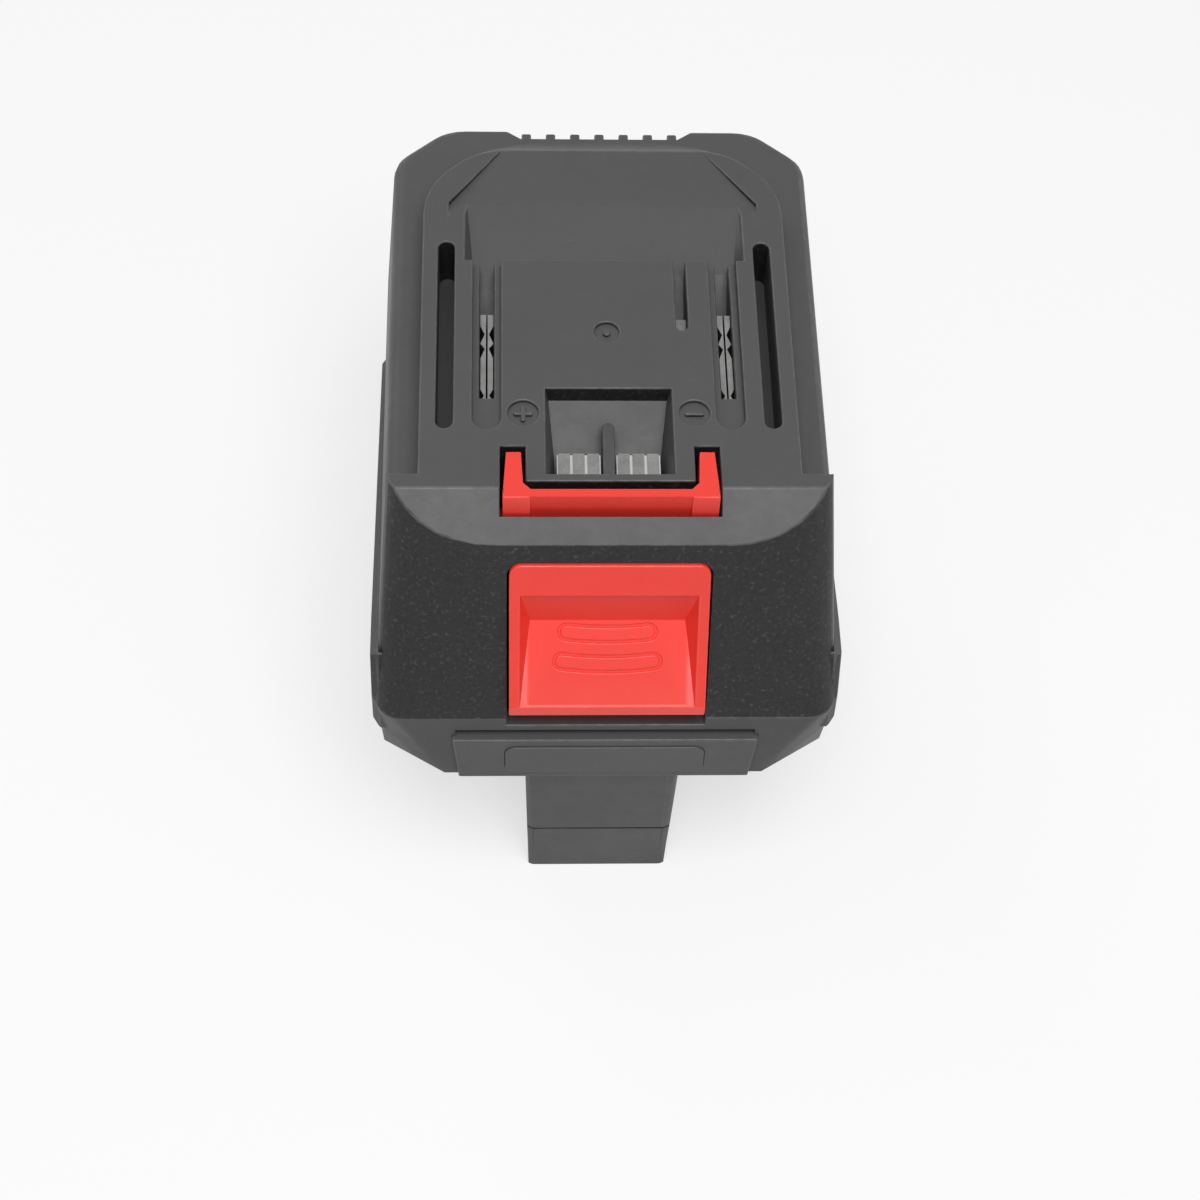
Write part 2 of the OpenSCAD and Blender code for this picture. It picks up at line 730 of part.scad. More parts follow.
// Hollow of the upper cover
module upper_hollow() {
    yr = rear_y - rear_wall;
    r0 = front_low_r - wall;
    rx = collar_corner_x - wall;
    ry = collar_corner_y - wall;
    hull() {
        slice(split_z - cut, plan(side_w - 2 * wall, split_front_y + lean_gap, yr, r0, r0));
        slice(roof_z - eps, plan(width_at(roof_z) - 2 * wall, front_at(roof_z) + lean_gap, yr, rx, ry));
    }
}

// Way over the shoulders, which keep a rounded edge
module shoulder_cut() {
    z0 = shoulder_z - rim_down;
    yf = collar_back_y - collar_corner_y - cut;
    difference() {
        box([-body_w, collar_back_y, z0], [body_w, rear_y + cut, plate_z + cut]);
        hull()
            for (k = [0, 0.5, 0.8, 1])
                slice(z0 + k * rim_down - eps, plan(width_at(z0 + k * rim_down) - 2 * rim_in * round_in(k), yf,
                    rear_y - rim_rear * round_in(k), collar_corner_x, collar_corner_y));
    }
}
// Share of a rounding's width that is gone at a share of its height
function round_in(k) = 1 - sqrt(1 - k * k);

// Raised pads on the sides, between two heights
module side_slab(x, d) {
    z1 = split_z + pad_up - d;
    z2 = split_z + pad_rear_up - d / 2;
    y = pad_in + d;
    translate([x, 0, 0]) rotate([90, 0, 90]) linear_extrude(eps) polygon([[low_at(pad_z) + y, pad_z + d],
        [pad_end_y - d, pad_z + d], [pad_end_y - d, z2], [front_at(z1) + y + pad_level_l, z1],
        [front_at(z1) + y, z1], [split_front_y + y, split_z]]);
}
module side_pads(z0, z1) {
    intersection() {
        for (s = [0, 1])
            mirror([s, 0, 0]) hull() {
                side_slab(side_w / 2 - wall, 0);
                side_slab(side_w / 2 - pad_t, 0);
                side_slab(body_w / 2 - eps, pad_bevel);
            }
        box([-body_w, front_y, z0], [body_w, rear_y, z1]);
    }
}

// Plan with a straight front and round rear corners
function round_deck(w, yf, yr, r) = concat([[-w / 2, yf], [w / 2, yf]],
    arc(w / 2 - r, yr - r, r, r, 0, 90), arc(r - w / 2, yr - r, r, r, 90, 180));

// Plate with its lips and sloping rear end, before the cuts
module plate() {
    y0 = horn_y - horn_bevel;
    box([-core_w / 2, collar_back_y - cut, shoulder_z - cut], [core_w / 2, y0, plate_z]);
    translate([0, 0, lip_z]) linear_extrude(lip_t)
        polygon(round_deck(plate_w, plate_front_y, deck_top_y - lip_back, deck_r));
    hull() {
        slice(shoulder_z - eps, round_deck(core_w, y0 - deck_lap, deck_end_y, deck_foot_r));
        slice(plate_z - eps, round_deck(core_w, y0 - deck_lap, deck_top_y, deck_r - lip_over));
    }
}

// Shallow ramp behind the horns, and the bevels at their ends
module rear_ramp() {
    y0 = horn_y - horn_bevel;
    intersection() {
        along_x(plate_w) polygon([[y0, plate_z], [horn_y, plate_z - deck_drop], [deck_top_y, plate_z],
            [deck_top_y, plate_z + cut], [y0, plate_z + cut]]);
        translate([0, 0, lip_z]) linear_extrude(lip_t + 2 * cut)
            polygon([[-ramp_w / 2, y0 - cut], [ramp_w / 2, y0 - cut], [ramp_w / 2, horn_y], [ramp_end_w / 2, deck_top_y],
                [-ramp_end_w / 2, deck_top_y], [-ramp_w / 2, horn_y]]);
    }
}

// Ramped pocket between the horns
module horn_pocket() {
    x0 = pocket_w / 2 - horn_draft;
    x1 = pocket_w / 2 + horn_draft * cut / pocket_d;
    intersection() {
        along_x(2 * pocket_w) polygon([[plateau_y, plate_z - pocket_d], [horn_y, plate_z - deck_drop],
            [horn_y, plate_z + cut], [plateau_y, plate_z + cut]]);
        along_y(plateau_y - cut, horn_y + cut) polygon([[-x1, plate_z + cut], [-x0, plate_z - pocket_d],
            [x0, plate_z - pocket_d], [x1, plate_z + cut]]);
    }
}

// One terminal slot: shallow groove, ramp and opening down to the clip
module terminal_cut(x) {
    translate([0, 0, plate_z - term_groove_d]) linear_extrude(term_groove_d + cut) {
        translate([x, term_y + term_groove_w / 2]) circle(term_groove_w / 2);
        translate([x - term_groove_w / 2, term_y + term_groove_w / 2]) square([term_groove_w, plateau_y - term_y]);
    }
    translate([x, 0, 0]) along_x(term_slot_w) polygon([[slot_end_y - eps, plate_z - ramp_d],
        [plateau_y + eps, plate_z - pocket_d], [plateau_y + eps, plate_z + cut], [slot_end_y - eps, plate_z + cut]]);
    box([x - term_slot_w / 2, slot_y, roof_z - cut], [x + term_slot_w / 2, slot_end_y, plate_z + cut]);
}

module third_cut() {
    y1 = third_y + third_open_l;
    translate([third_x, 0, 0]) along_x(third_w) polygon([[y1 - eps, plate_z - ramp_d], [plateau_y + eps, plate_z - pocket_d],
        [plateau_y + eps, plate_z + cut], [y1 - eps, plate_z + cut]]);
    box([third_x - third_w / 2, third_y + third_w / 2, roof_z - cut], [third_x + third_w / 2, y1, plate_z + cut]);
    translate([third_x, third_y + third_w / 2, roof_z - cut]) cylinder(d = third_w, h = plate_t + 2 * cut);
}

module long_cuts() {
    for (s = [-1, 1])
        translate([0, 0, plate_z - long_d]) linear_extrude(long_d + cut)
            slot_plan(s * long_pitch / 2, long_y, long_y + long_l, long_w);
}

// Polarity marks: sunk discs with a raised sign, plus on the left
module mark_cuts() {
    for (s = [-1, 1])
        translate([s * mark_pitch / 2, mark_y, plate_z - mark_d]) difference() {
            cylinder(d = mark_dia, h = mark_d + cut);
            box([-mark_bar_l / 2, -mark_bar_w / 2, -cut], [mark_bar_l / 2, mark_bar_w / 2, mark_d + 2 * cut]);
            if (s < 0) box([-mark_bar_w / 2, -mark_bar_l / 2, -cut], [mark_bar_w / 2, mark_bar_l / 2, mark_d + 2 * cut]);
        }
    translate([0, gate_y, plate_z - mark_d]) difference() {
        cylinder(d = gate_dia, h = mark_d + cut);
        translate([0, 0, -cut]) cylinder(d = gate_nub, h = mark_d + 2 * cut);
    }
}

// Signal well with its ramp and middle rib, and the slots for the contacts' tails
module well_cut() {
    x0 = well_w / 2 - well_draft;
    x1 = well_w / 2 + well_draft * cut / well_d;
    difference() {
        along_y(well_y, well_end_y) polygon([[-x1, plate_z + cut], [-x0, well_z], [x0, well_z], [x1, plate_z + cut]]);
        along_x(well_w + cut) polygon([[well_end_y - well_ramp_l, well_z - cut], [well_end_y - well_ramp_l, well_z],
            [well_end_y, plate_z - well_rear_h], [well_end_y + cut, plate_z - well_rear_h], [well_end_y + cut, well_z - cut]]);
        translate([0, 0, well_z - cut]) linear_extrude(well_d - well_rib_drop + cut)
            slot_plan(0, well_y - well_rib_w, well_y + well_rib_l, well_rib_w);
    }
    each_contact() box([-contact_w / 2 - blade_gap, -contact_t / 2 - blade_gap, roof_z - cut],
        [contact_w / 2 + blade_gap, contact_t / 2 + blade_gap, well_z + cut]);
}
module each_contact() {
    for (s = [-1, 1])
        for (i = [0:socket_n - 1])
            translate([s * socket_x + (i - (socket_n - 1) / 2) * contact_pitch,
                well_y + socket_gap + socket_l / 2, 0]) children();
}

// Openings for the catch and the thumb button
module latch_cuts() {
    x = catch_w / 2 + latch_gap;
    xi = catch_w / 2 - arm_w - latch_gap;
    y0 = catch_front_y - corner_lean - latch_gap;
    box([-x, y0, roof_z - cut], [x, catch_y + catch_back_gap, plate_z + cut]);
    for (s = [-1, 1])
        translate([s < 0 ? -x : xi, catch_front_y, roof_z - cut])
            cube([x - xi, arm_end_y + arm_back_gap - catch_front_y, plate_t + 2 * cut]);
    along_y(front_y - cut, button_back_y + latch_gap) button_outline(latch_gap, split_z - button_low_r - cut);
}

// Front outline of the button, grown by a gap, from a height up
module button_outline(gap, z0) {
    x = button_w / 2 + gap;
    r = button_r + gap;
    r0 = button_low_r;
    z1 = button_z + gap;
    translate([-x, z0 + r0]) square([2 * x, z1 - r - z0 - r0]);
    translate([r - x, z0]) square([2 * (x - r), z1 - z0]);
    translate([r0 - x, z0]) square([2 * (x - r0), r0 + r]);
    for (s = [-1, 1]) {
        translate([s * (x - r), z1 - r]) circle(r);
        translate([s * (x - r0), z0 + r0]) circle(r0);
    }
}

// Rear grip: sunk panel with upright ribs
module rear_grip() {
    z0 = shoulder_z - grip_h;
    difference() {
        translate([0, 0, z0]) linear_extrude(grip_h + cut) polygon([[-grip_w / 2 - grip_slope, rear_y + eps],
            [-grip_w / 2, rear_y - grip_d], [grip_w / 2, rear_y - grip_d], [grip_w / 2 + grip_slope, rear_y + eps]]);
        for (i = [-3:3])
            box([i * rib_pitch - rib_w / 2, rear_y - grip_d - cut, z0 - cut], [i * rib_pitch + rib_w / 2, rear_y - grip_d + rib_h, shoulder_z + 2 * cut]);
    }
}

// Pads for the cover screws: boss from z0 to z1
module cover_bosses(z0, z1) {
    for (s = cover_screw_xs)
        for (y = cover_screw_ys)
            translate([s * cover_screw_x, y, z0]) cylinder(r = boss_r, h = z1 - z0);
}

module top_cover() {
    color(plastic) difference() {
        union() {
            difference() {
                upper_form();
                shoulder_cut();
                upper_hollow();
            }
            side_pads(split_z, plate_z);
            plate();
            intersection() {
                cover_bosses(split_z, roof_z + cut);
                upper_form();
            }
        }
        // hollow between the slots
        box([-term_x + term_slot_w / 2 + wall, well_end_y + wall, roof_z - cut],
            [third_x - third_w / 2 - wall, plateau_y - wall, plate_z - wall - mark_d]);
        horn_pocket();
        rear_ramp();
        terminal_cut(-term_x);
        terminal_cut(term_x);
        third_cut();
        long_cuts();
        mark_cuts();
        well_cut();
        latch_cuts();
        rear_grip();
        for (s = cover_screw_xs)
            for (y = cover_screw_ys)
                translate([s * cover_screw_x, y, split_z - cut]) cylinder(r = screw_r + screw_gap, h = bite + pilot_end + cut);
    }
}

// Outer form of the lower cover
module lower_form() {
    hull() {
        slice(stem_h, base_plan(base_w, front_y, rear_y - base_back));
        slice(split_z - eps, plan(side_w, split_front_y, rear_y, front_low_r, front_low_r));
    }
}

module lower_hollow() {
    z0 = stem_h + floor_t;
    r = front_low_r - wall;
    dy = low_gap + bar_seat;
    hull() {
        slice(z0, base_plan(base_w - 2 * wall, low_at(z0) + dy, rear_y - base_back - wall));
        slice(split_z + cut, plan(side_w - 2 * wall, split_front_y + dy, rear_y - wall, r, r));
    }
}

// Side outline of the raised bar between two heights, from d0 behind the front line to d1 before it
module bar_side(z0, z1, d0, d1) {
    polygon([[low_at(z0) + d0, z0], [low_at(z1) + d0, z1], [low_at(z1) - d1, z1], [low_at(z0) - d1, z0]]);
}

// Front outline of the raised bar, narrower below
module bar_front(gap) {
    polygon([[-bar_w / 2 + bar_taper - gap, bar_z - gap], [bar_w / 2 - bar_taper + gap, bar_z - gap],
        [bar_w / 2 + gap, bar_top_z + gap], [-bar_w / 2 - gap, bar_top_z + gap]]);
}

module bottom_cover() {
    deck_z = stem_h + floor_t;
    color(dark) difference() {
        union() {
            difference() {
                lower_form();
                lower_hollow();
            }
            side_pads(stem_h, split_z);
            intersection() {
                cover_bosses(stem_h, split_z - eps);
                lower_form();
            }
            for (x = board_screw_xs)
                for (y = board_screw_ys)
                    translate([x, y, deck_z - eps]) cylinder(r = boss_r, h = board_up + eps);
            for (s = [-1, 1])
                translate([s * spring_pitch / 2, spring_y, deck_z - eps]) {
                    cylinder(r = spring_dia / 2 + post_rim, h = spring_z - deck_z + eps);
                    cylinder(r = pin_r, h = spring_z - deck_z + spring_l / 3);
                }
        }
        // room for the raised bar, its shadow groove and the button's way down
        intersection() {
            along_x(body_w) bar_side(bar_z - cut, bar_top_z, bar_seat, cut);
            along_y(front_y - 2 * cut, rear_y) bar_front(0);
        }
        intersection() {
            along_x(bar_w - 2 * shadow_in) bar_side(bar_top_z - eps, bar_top_z + shadow_h, bar_seat, cut);
            along_y(front_y - 2 * cut, rear_y) square([bar_w, 2 * split_z], center = true);
        }
        box([-button_w / 2 - latch_gap, front_y - cut, window_low_z],
            [button_w / 2 + latch_gap, button_back_y + latch_gap, split_z + cut]);
        for (s = cover_screw_xs)
            for (y = cover_screw_ys)
                translate([s * cover_screw_x, y, stem_h - cut]) {
                    cylinder(r = screw_r + screw_gap, h = lower_h + 2 * cut);
                    cylinder(r = head_r + head_gap, h = sink + cut);
                }
        for (x = board_screw_xs)
            for (y = board_screw_ys)
                translate([x, y, board_z - bite]) cylinder(r = screw_r + screw_gap, h = bite + cut);
        for (p = stem_screws_at)
            translate([p[0], p[1], stem_h - cut]) cylinder(r = screw_r + screw_gap, h = floor_t + 2 * cut);
        // way through for the pack leads
        box([-pocket_x, holder_y, stem_h - cut], [pocket_x, stem_end_y - stem_wall, deck_z + cut]);
    }
}

module front_plate() {
    color(plastic) difference() {
        intersection() {
            along_x(body_w) bar_side(bar_z, bar_top_z, bar_seat, bar_t);
            along_y(front_y - 2 * bar_t, rear_y) bar_front(0);
        }
        badge_form(badge_t + cut);
    }
}

// Badge outline on the bar's face, sunk by its thickness less what stands proud
module badge_form(t) {
    z = bar_z + bar_h / 2;
    translate([0, low_at(z) - bar_t - badge_proud, z]) rotate([90 - low_tilt, 0, 0]) translate([0, 0, -badge_t])
        linear_extrude(t) {
            square([badge_w - badge_h / 2, badge_h], center = true);
            square([badge_w, badge_h / 2], center = true);
            for (sx = [-1, 1])
                for (sy = [-1, 1])
                    translate([sx * (badge_w / 2 - badge_h / 4), sy * badge_h / 4]) circle(badge_h / 4);
        }
}

module badge() {
    color(silver) badge_form(badge_t);
}

// Latch: catch on top, carriage inside, thumb button in front
module release_latch() {
    wx = button_w / 2 - web_in;
    color(red) difference() {
        union() {
            catch_form();
            // carriage and its web to the button
            box([-carriage_w / 2, carriage_y, carriage_z - carriage_t], [carriage_w / 2, carriage_y + carriage_l, carriage_z]);
            box([-wx, button_back_y - web_in, flange_z - web_h], [wx, carriage_y + web_h, carriage_z]);
            // skirt that closes the gap under the button
            box([-wx, skirt_y, window_low_z - latch_gap], [wx, skirt_y + skirt_t, button_low_z + skirt_lap]);
            button_form();
        }
        thumb_scoop();
        thumb_mark(0.17, thumb_mark_w);
        thumb_mark(0.525, thumb_low_w);
    }
}

// Catch: two arms, the bar between them and a leaning block at each corner
module catch_form() {
    x0 = catch_w / 2;
    h = catch_z - carriage_z + eps;
    for (s = [0, 1])
        mirror([s, 0, 0]) {
            translate([0, 0, carriage_z - eps]) linear_extrude(h) polygon([[x0, catch_front_y], [x0 - arm_lean, arm_end_y],
                [x0 - arm_lean - arm_end_w, arm_end_y], [x0 - arm_w, catch_y + arm_web],
                [x0 - arm_w - arm_web, catch_y], [x0 - arm_w - arm_web, catch_front_y + bar_back]]);
            translate([x0 - corner_w / 2, 0, 0]) along_x(corner_w) polygon([[catch_y, carriage_z - eps], [catch_y, catch_z],
                [catch_front_y, catch_z], [catch_front_y - corner_lean, catch_z - corner_face_h],
                [catch_front_y - corner_lean, carriage_z - eps]]);
        }
    box([-x0 + arm_w, catch_front_y + bar_back, carriage_z - eps], [x0 - arm_w, catch_y, catch_z]);
}

// Button body with round corners
module button_form() {
    fy = front_at(flange_z) - flange_out;
    intersection() {
        along_x(button_w) polygon([[button_back_y, button_z], [front_at(button_z) - flange_out, button_z],
            [fy, flange_z], [lip_y, button_low_z + lip_h], [lip_y, button_low_z + lip_bevel],
            [lip_y + lip_bevel, button_low_z], [lip_y + foot_d, button_low_z], [button_back_y, scoop_z]]);
        along_y(lip_y - cut, button_back_y + cut) button_outline(0, button_low_z);
    }
}

// Scoop for the thumb: overhang above, leaning cheeks, sloping floor
module thumb_scoop() {
    fy = front_at(flange_z);
    z1 = button_low_z + lip_h;
    hull() {
        along_x(scoop_w) polygon([[fy + scoop_d, flange_z], [fy + scoop_d, scoop_z], [lip_y + lip_d, z1]]);
        along_x(scoop_mouth_w) polygon([[fy - flange_out, flange_z], [lip_y, z1], [lip_y - cut, z1], [fy - flange_out - cut, flange_z]]);
    }
}

// Pill outline cut into the scoop's floor, k of the way down
module thumb_mark(k, w) {
    y0 = front_at(flange_z) + scoop_d;
    y1 = lip_y + lip_d;
    z1 = button_low_z + lip_h;
    a = atan((scoop_z - z1) / (y0 - y1));
    translate([0, y0 + (y1 - y0) * k, scoop_z + (z1 - scoop_z) * k]) rotate([a, 0, 0])
        translate([0, 0, -thumb_line_d]) linear_extrude(2 * thumb_line_d) difference() {
            pill(w, thumb_mark_h);
            pill(w - 2 * thumb_line_w, thumb_mark_h - 2 * thumb_line_w);
        }
}
// Pill along a shallow arc, middle lowest
module pill(w, h) {
    r = thumb_mark_r;
    b = asin((w - h) / 2 / r);
    x = r * sin(b);
    y = r - r * cos(b);
    lower = [for (i = [-5:5]) [(r + h / 2) * sin(b * i / 6), r - (r + h / 2) * cos(b * i / 6)]];
    upper = [for (i = [5:-1:-5]) [(r - h / 2) * sin(b * i / 6), r - (r - h / 2) * cos(b * i / 6)]];
    polygon(concat(lower, arc(x, y, h / 2, h / 2, b - 90, b + 90), upper,
        arc(-x, y, h / 2, h / 2, 90 - b, 270 - b)));
}

module latch_springs() {
    color(silver) for (s = [-1, 1])
        translate([s * spring_pitch / 2, spring_y, spring_z]) difference() {
            cylinder(d = spring_dia, h = spring_l);
            translate([0, 0, -cut]) cylinder(d = spring_dia - 2 * spring_wire, h = spring_l + 2 * cut);
        }
}

// Plan of one clip leaf from its front end to the rear: share of the length, share of the half width
leaf_plan = [[0, 0.85], [0.06, 0.4], [0.13, 0.95], [0.49, 0.95], [0.6, 0.3], [0.66, 1], [0.77, 0.32], [0.87, 1], [1, 1]];
module leaf() {
    n = len(leaf_plan) - 1;
    outer = [for (p = leaf_plan) [clip_x * p[1], clip_l * p[0]]];
    polygon(concat([[pinch_gap / 2, clip_l], [pinch_gap / 2, 0]], outer));
}
module power_clip(x) {
    z1 = clip_base_z + clip_base_h;
    translate([x, clip_y, 0]) {
        translate([0, 0, z1 - eps]) linear_extrude(clip_z - z1 + eps) {
            leaf();
            mirror([1, 0]) leaf();
        }
        box([-clip_x, 0, clip_base_z], [clip_x, clip_l, z1]);
        box([-clip_x, clip_foot_h, board_top_z], [clip_x, clip_foot_h + clip_foot_l, clip_base_z + eps]);
    }
}
module positive_clip() {
    color(silver) power_clip(-term_x);
}
module negative_clip() {
    color(silver) power_clip(term_x);
}
module signal_clip() {
    color(silver) translate([third_x, third_clip_y, 0]) {
        box([-third_clip_x, 0, clip_base_z], [third_clip_x, third_clip_l, clip_z]);
        box([-third_clip_x, 0, board_top_z], [third_clip_x, third_clip_l / 2, clip_base_z + eps]);
    }
}

// Insulator that stands on the board and carries the three clips
module terminal_block() {
    h = clip_x + clip_gap;
    hs = third_clip_x + clip_gap;
    color(dark) difference() {
        box([-block_w / 2, block_y, board_top_z], [block_w / 2, block_end_y, block_z]);
        for (s = [-1, 1])
            box([s * term_x - h, clip_y - clip_gap, board_top_z - cut], [s * term_x + h, clip_y + clip_l + clip_gap, block_z + cut]);
        box([third_x - hs, third_clip_y - clip_gap, board_top_z - cut],
            [third_x + hs, third_clip_y + third_clip_l + clip_gap, block_z + cut]);
    }
}

module signal_socket() {
    color([0.7, 0.7, 0.68]) difference() {
        for (s = [-1, 1])
            translate([s * socket_x - socket_w / 2, well_y + socket_gap, well_z]) cube([socket_w, socket_l, socket_h]);
        each_contact() box([-contact_w / 2 - blade_gap, -contact_t / 2 - blade_gap, well_z - cut],
            [contact_w / 2 + blade_gap, contact_t / 2 + blade_gap, socket_z + cut]);
    }
}
module signal_contacts() {
    x = (contact_pitch - contact_gap) / 2;
    color(silver) each_contact() {
        box([-contact_w / 2, -contact_t / 2, board_top_z], [contact_w / 2, contact_t / 2, socket_z + eps]);
        box([-x, -socket_l / 2, socket_z], [x, socket_l / 2, socket_z + contact_pad_t]);
    }
}

module circuit_board() {
    color([0.1, 0.35, 0.2]) difference() {
        box([-board_x, board_y, board_z], [board_x, board_end_y, board_top_z]);
        for (x = board_screw_xs)
            for (y = board_screw_ys)
                translate([x, y, board_z - cut]) cylinder(r = screw_r + screw_gap, h = board_t + 2 * cut);
    }
}
module board_screws() {
    color(silver) for (x = board_screw_xs)
        for (y = board_screw_ys)
            translate([x, y, board_top_z]) screw(board_t + bite - pilot_end);
}
module power_diodes() {
    x = cap_dia / 2 + part_gap + diode_w / 2;
    color([0.1, 0.1, 0.1]) for (s = [-1, 1])
        for (k = [0, 1])
            translate([s * x - diode_w / 2, block_end_y + part_gap + k * (diode_t + part_gap), board_top_z])
                cube([diode_w, diode_t, diode_h]);
}
module capacitors() {
    color([0.15, 0.2, 0.3]) for (k = [0, 1])
        translate([0, block_end_y + part_gap + cap_dia / 2 + k * (cap_dia + part_gap), board_top_z])
            cylinder(d = cap_dia, h = cap_h);
}
module fuse() {
    color([0.75, 0.55, 0.2]) translate([-fuse_l / 2, block_y - fuse_w - part_gap / 2, board_top_z]) cube([fuse_l, fuse_w, fuse_h]);
}

// Neck: tapered front block and narrow spine, between two heights
module stem_form(z0, z1) {
    intersection() {
        union() {
            along_y(stem_y, nose_y) stem_taper();
            box([-spine_x, nose_y - cut, 0], [spine_x, stem_end_y, stem_h]);
        }
        translate([0, 0, z0]) linear_extrude(z1 - z0) {
            translate([nose_r - stem_top_w / 2, stem_y]) square([stem_top_w - 2 * nose_r, stem_l]);
            translate([-stem_top_w / 2, stem_y + nose_r]) square([stem_top_w, stem_l - nose_r]);
            for (s = [-1, 1])
                translate([s * (stem_top_w / 2 - nose_r), stem_y + nose_r]) circle(nose_r);
        }
    }
}
module stem_taper() {
    polygon([[-stem_bottom_w / 2, 0], [stem_bottom_w / 2, 0], [stem_top_w / 2, stem_h], [-stem_top_w / 2, stem_h]]);
}

// Hollows of the neck, clear of the cross walls that hold the screws
module stem_hollows(z0, z1) {
    c = cross_t / 2;
    x = pocket_x + nose_pocket;
    box([-x, stem_y + stem_wall, z0], [x, nose_screw_y - c, z1]);
    box([-x, nose_screw_y + c, z0], [x, nose_y - stem_wall, z1]);
    box([-pocket_x, nose_y + stem_wall, z0], [pocket_x, wall_ys[0] - c, z1]);
    box([-pocket_x, wall_ys[0] + c, z0], [pocket_x, wall_ys[1] - c, z1]);
    box([-pocket_x, wall_ys[1] + c, z0], [pocket_x, stem_end_y - stem_wall, z1]);
}

// Ways for the blades' tails on the right side, from x0 to x1
module tail_ways(x0, x1) {
    for (k = [-1, 0, 1])
        box([x0, lead_y(k) - tail_w / 2 - blade_gap, blade_z(k) - blade_t / 2 - blade_gap],
            [x1, lead_y(k) + tail_w / 2 + blade_gap, blade_z(k) + blade_t / 2 + blade_gap]);
}
module tail_windows() {
    tail_ways(pocket_x - cut, spine_x + cut);
    mirror([1, 0, 0]) tail_ways(pocket_x - cut, spine_x + cut);
}

module stem_body() {
    color(plastic) difference() {
        stem_form(foot_h, stem_h);
        stem_hollows(foot_h - cut, stem_h - stem_roof);
        box([-pocket_x, holder_y, foot_h - cut], [pocket_x, stem_end_y - stem_wall, stem_h + cut]);
        for (p = stem_screws_at)
            translate([p[0], p[1], stem_h - stem_bite - pilot_end]) cylinder(r = screw_r + screw_gap, h = stem_bite + pilot_end + cut);
        for (p = foot_screws_at)
            translate([p[0], p[1], foot_h - cut]) cylinder(r = screw_r + screw_gap, h = stem_bite + pilot_end + cut);
        rail_pilots();
        tail_windows();
    }
}

module stem_foot() {
    color(dark) difference() {
        stem_form(0, foot_h);
        stem_hollows(stem_wall, foot_h + cut);
        // seam line round the front block
        difference() {
            box([-stem_top_w, stem_y - cut, foot_h - seam_h], [stem_top_w, nose_y - seam_d, foot_h + cut]);
            box([seam_d - stem_bottom_w / 2, stem_y + seam_d, foot_h - seam_h - cut], [stem_bottom_w / 2 - seam_d, nose_y, foot_h + 2 * cut]);
        }
        for (p = foot_screws_at)
            translate([p[0], p[1], -cut]) {
                cylinder(r = screw_r + screw_gap, h = foot_h + 2 * cut);
                cylinder(r = head_r + head_gap, h = sink + cut);
            }
        tail_windows();
        rail_pilots();
    }
}

// Screw places on the rails, in the cross walls
module each_rail_screw(s) {
    for (y = wall_ys)
        for (z = [rail_mid_z - rail_screw_pitch / 2, rail_mid_z + rail_screw_pitch / 2])
            translate([s * spine_x, y, z]) rotate([0, s * 90, 0]) children();
}
module rail_pilots() {
    for (s = [-1, 1])
        each_rail_screw(s) translate([0, 0, -rail_bite - pilot_end])
            cylinder(r = screw_r + screw_gap, h = rail_bite + pilot_end + cut);
}

// Right rail: back plate, two flanges with inward lips
module slide_rail() {
    z0 = rail_up;
    z1 = rail_top_z;
    difference() {
        union() {
            box([spine_x, rail_y, z0], [rail_x, stem_end_y, z1]);
            for (z = [z0, z1 - flange_t])
                box([rail_x - eps, rail_y, z], [rail_out, stem_end_y, z + flange_t]);
            box([rail_out - rail_lip_t, rail_y, z0 + flange_t - eps], [rail_out, stem_end_y, z0 + flange_t + rail_lip_h]);
            box([rail_out - rail_lip_t, rail_y, z1 - flange_t - rail_lip_h], [rail_out, stem_end_y, z1 - flange_t + eps]);
        }
        each_rail_screw(1) {
            translate([0, 0, -cut]) cylinder(r = screw_r + screw_gap, h = rail_t + 2 * cut);
            translate([0, 0, rail_t - sink]) cylinder(r = head_r + head_gap, h = sink + cut);
        }
        tail_ways(spine_x - cut, rail_x + cut);
    }
}
module right_slide_rail() {
    color([0.16, 0.16, 0.17]) slide_rail();
}
module left_slide_rail() {
    color([0.16, 0.16, 0.17]) mirror([1, 0, 0]) slide_rail();
}

// Stop at the channel's rear end, with slots for the blades
module blade_holder() {
    z0 = rail_up + flange_t + holder_gap;
    z1 = rail_top_z - flange_t - holder_gap;
    difference() {
        box([rail_x, holder_y, z0], [rail_out - rail_lip_t - holder_gap, stem_end_y, z1]);
        for (k = [-1, 0, 1])
            box([rail_x - cut, holder_y - cut, blade_z(k) - blade_t / 2 - blade_gap],
                [blade_x + blade_w + blade_gap, lead_y(k) + tail_w / 2 + blade_gap, blade_z(k) + blade_t / 2 + blade_gap]);
    }
}
module right_blade_holder() {
    color([0.3, 0.3, 0.3]) blade_holder();
}
module left_blade_holder() {
    color([0.3, 0.3, 0.3]) mirror([1, 0, 0]) blade_holder();
}

// Blade k of -1, 0, 1 with its tail into the stem
module blade(k, l) {
    z = blade_z(k);
    y1 = lead_y(k) + tail_w / 2;
    box([blade_x, holder_y - l, z - blade_t / 2], [blade_x + blade_w, y1, z + blade_t / 2]);
    box([lead_x(k) - lead_dia / 2, y1 - tail_w, z - blade_t / 2], [blade_x + eps, y1, z + blade_t / 2]);
}
module right_positive_blade() {
    color(silver) blade(1, blade_l);
}
module right_negative_blade() {
    color(silver) blade(-1, blade_l);
}
module right_signal_blade() {
    color(silver) blade(0, signal_blade_l);
}
module left_positive_blade() {
    color(silver) mirror([1, 0, 0]) blade(1, blade_l);
}
module left_negative_blade() {
    color(silver) mirror([1, 0, 0]) blade(-1, blade_l);
}
module left_signal_blade() {
    color(silver) mirror([1, 0, 0]) blade(0, signal_blade_l);
}

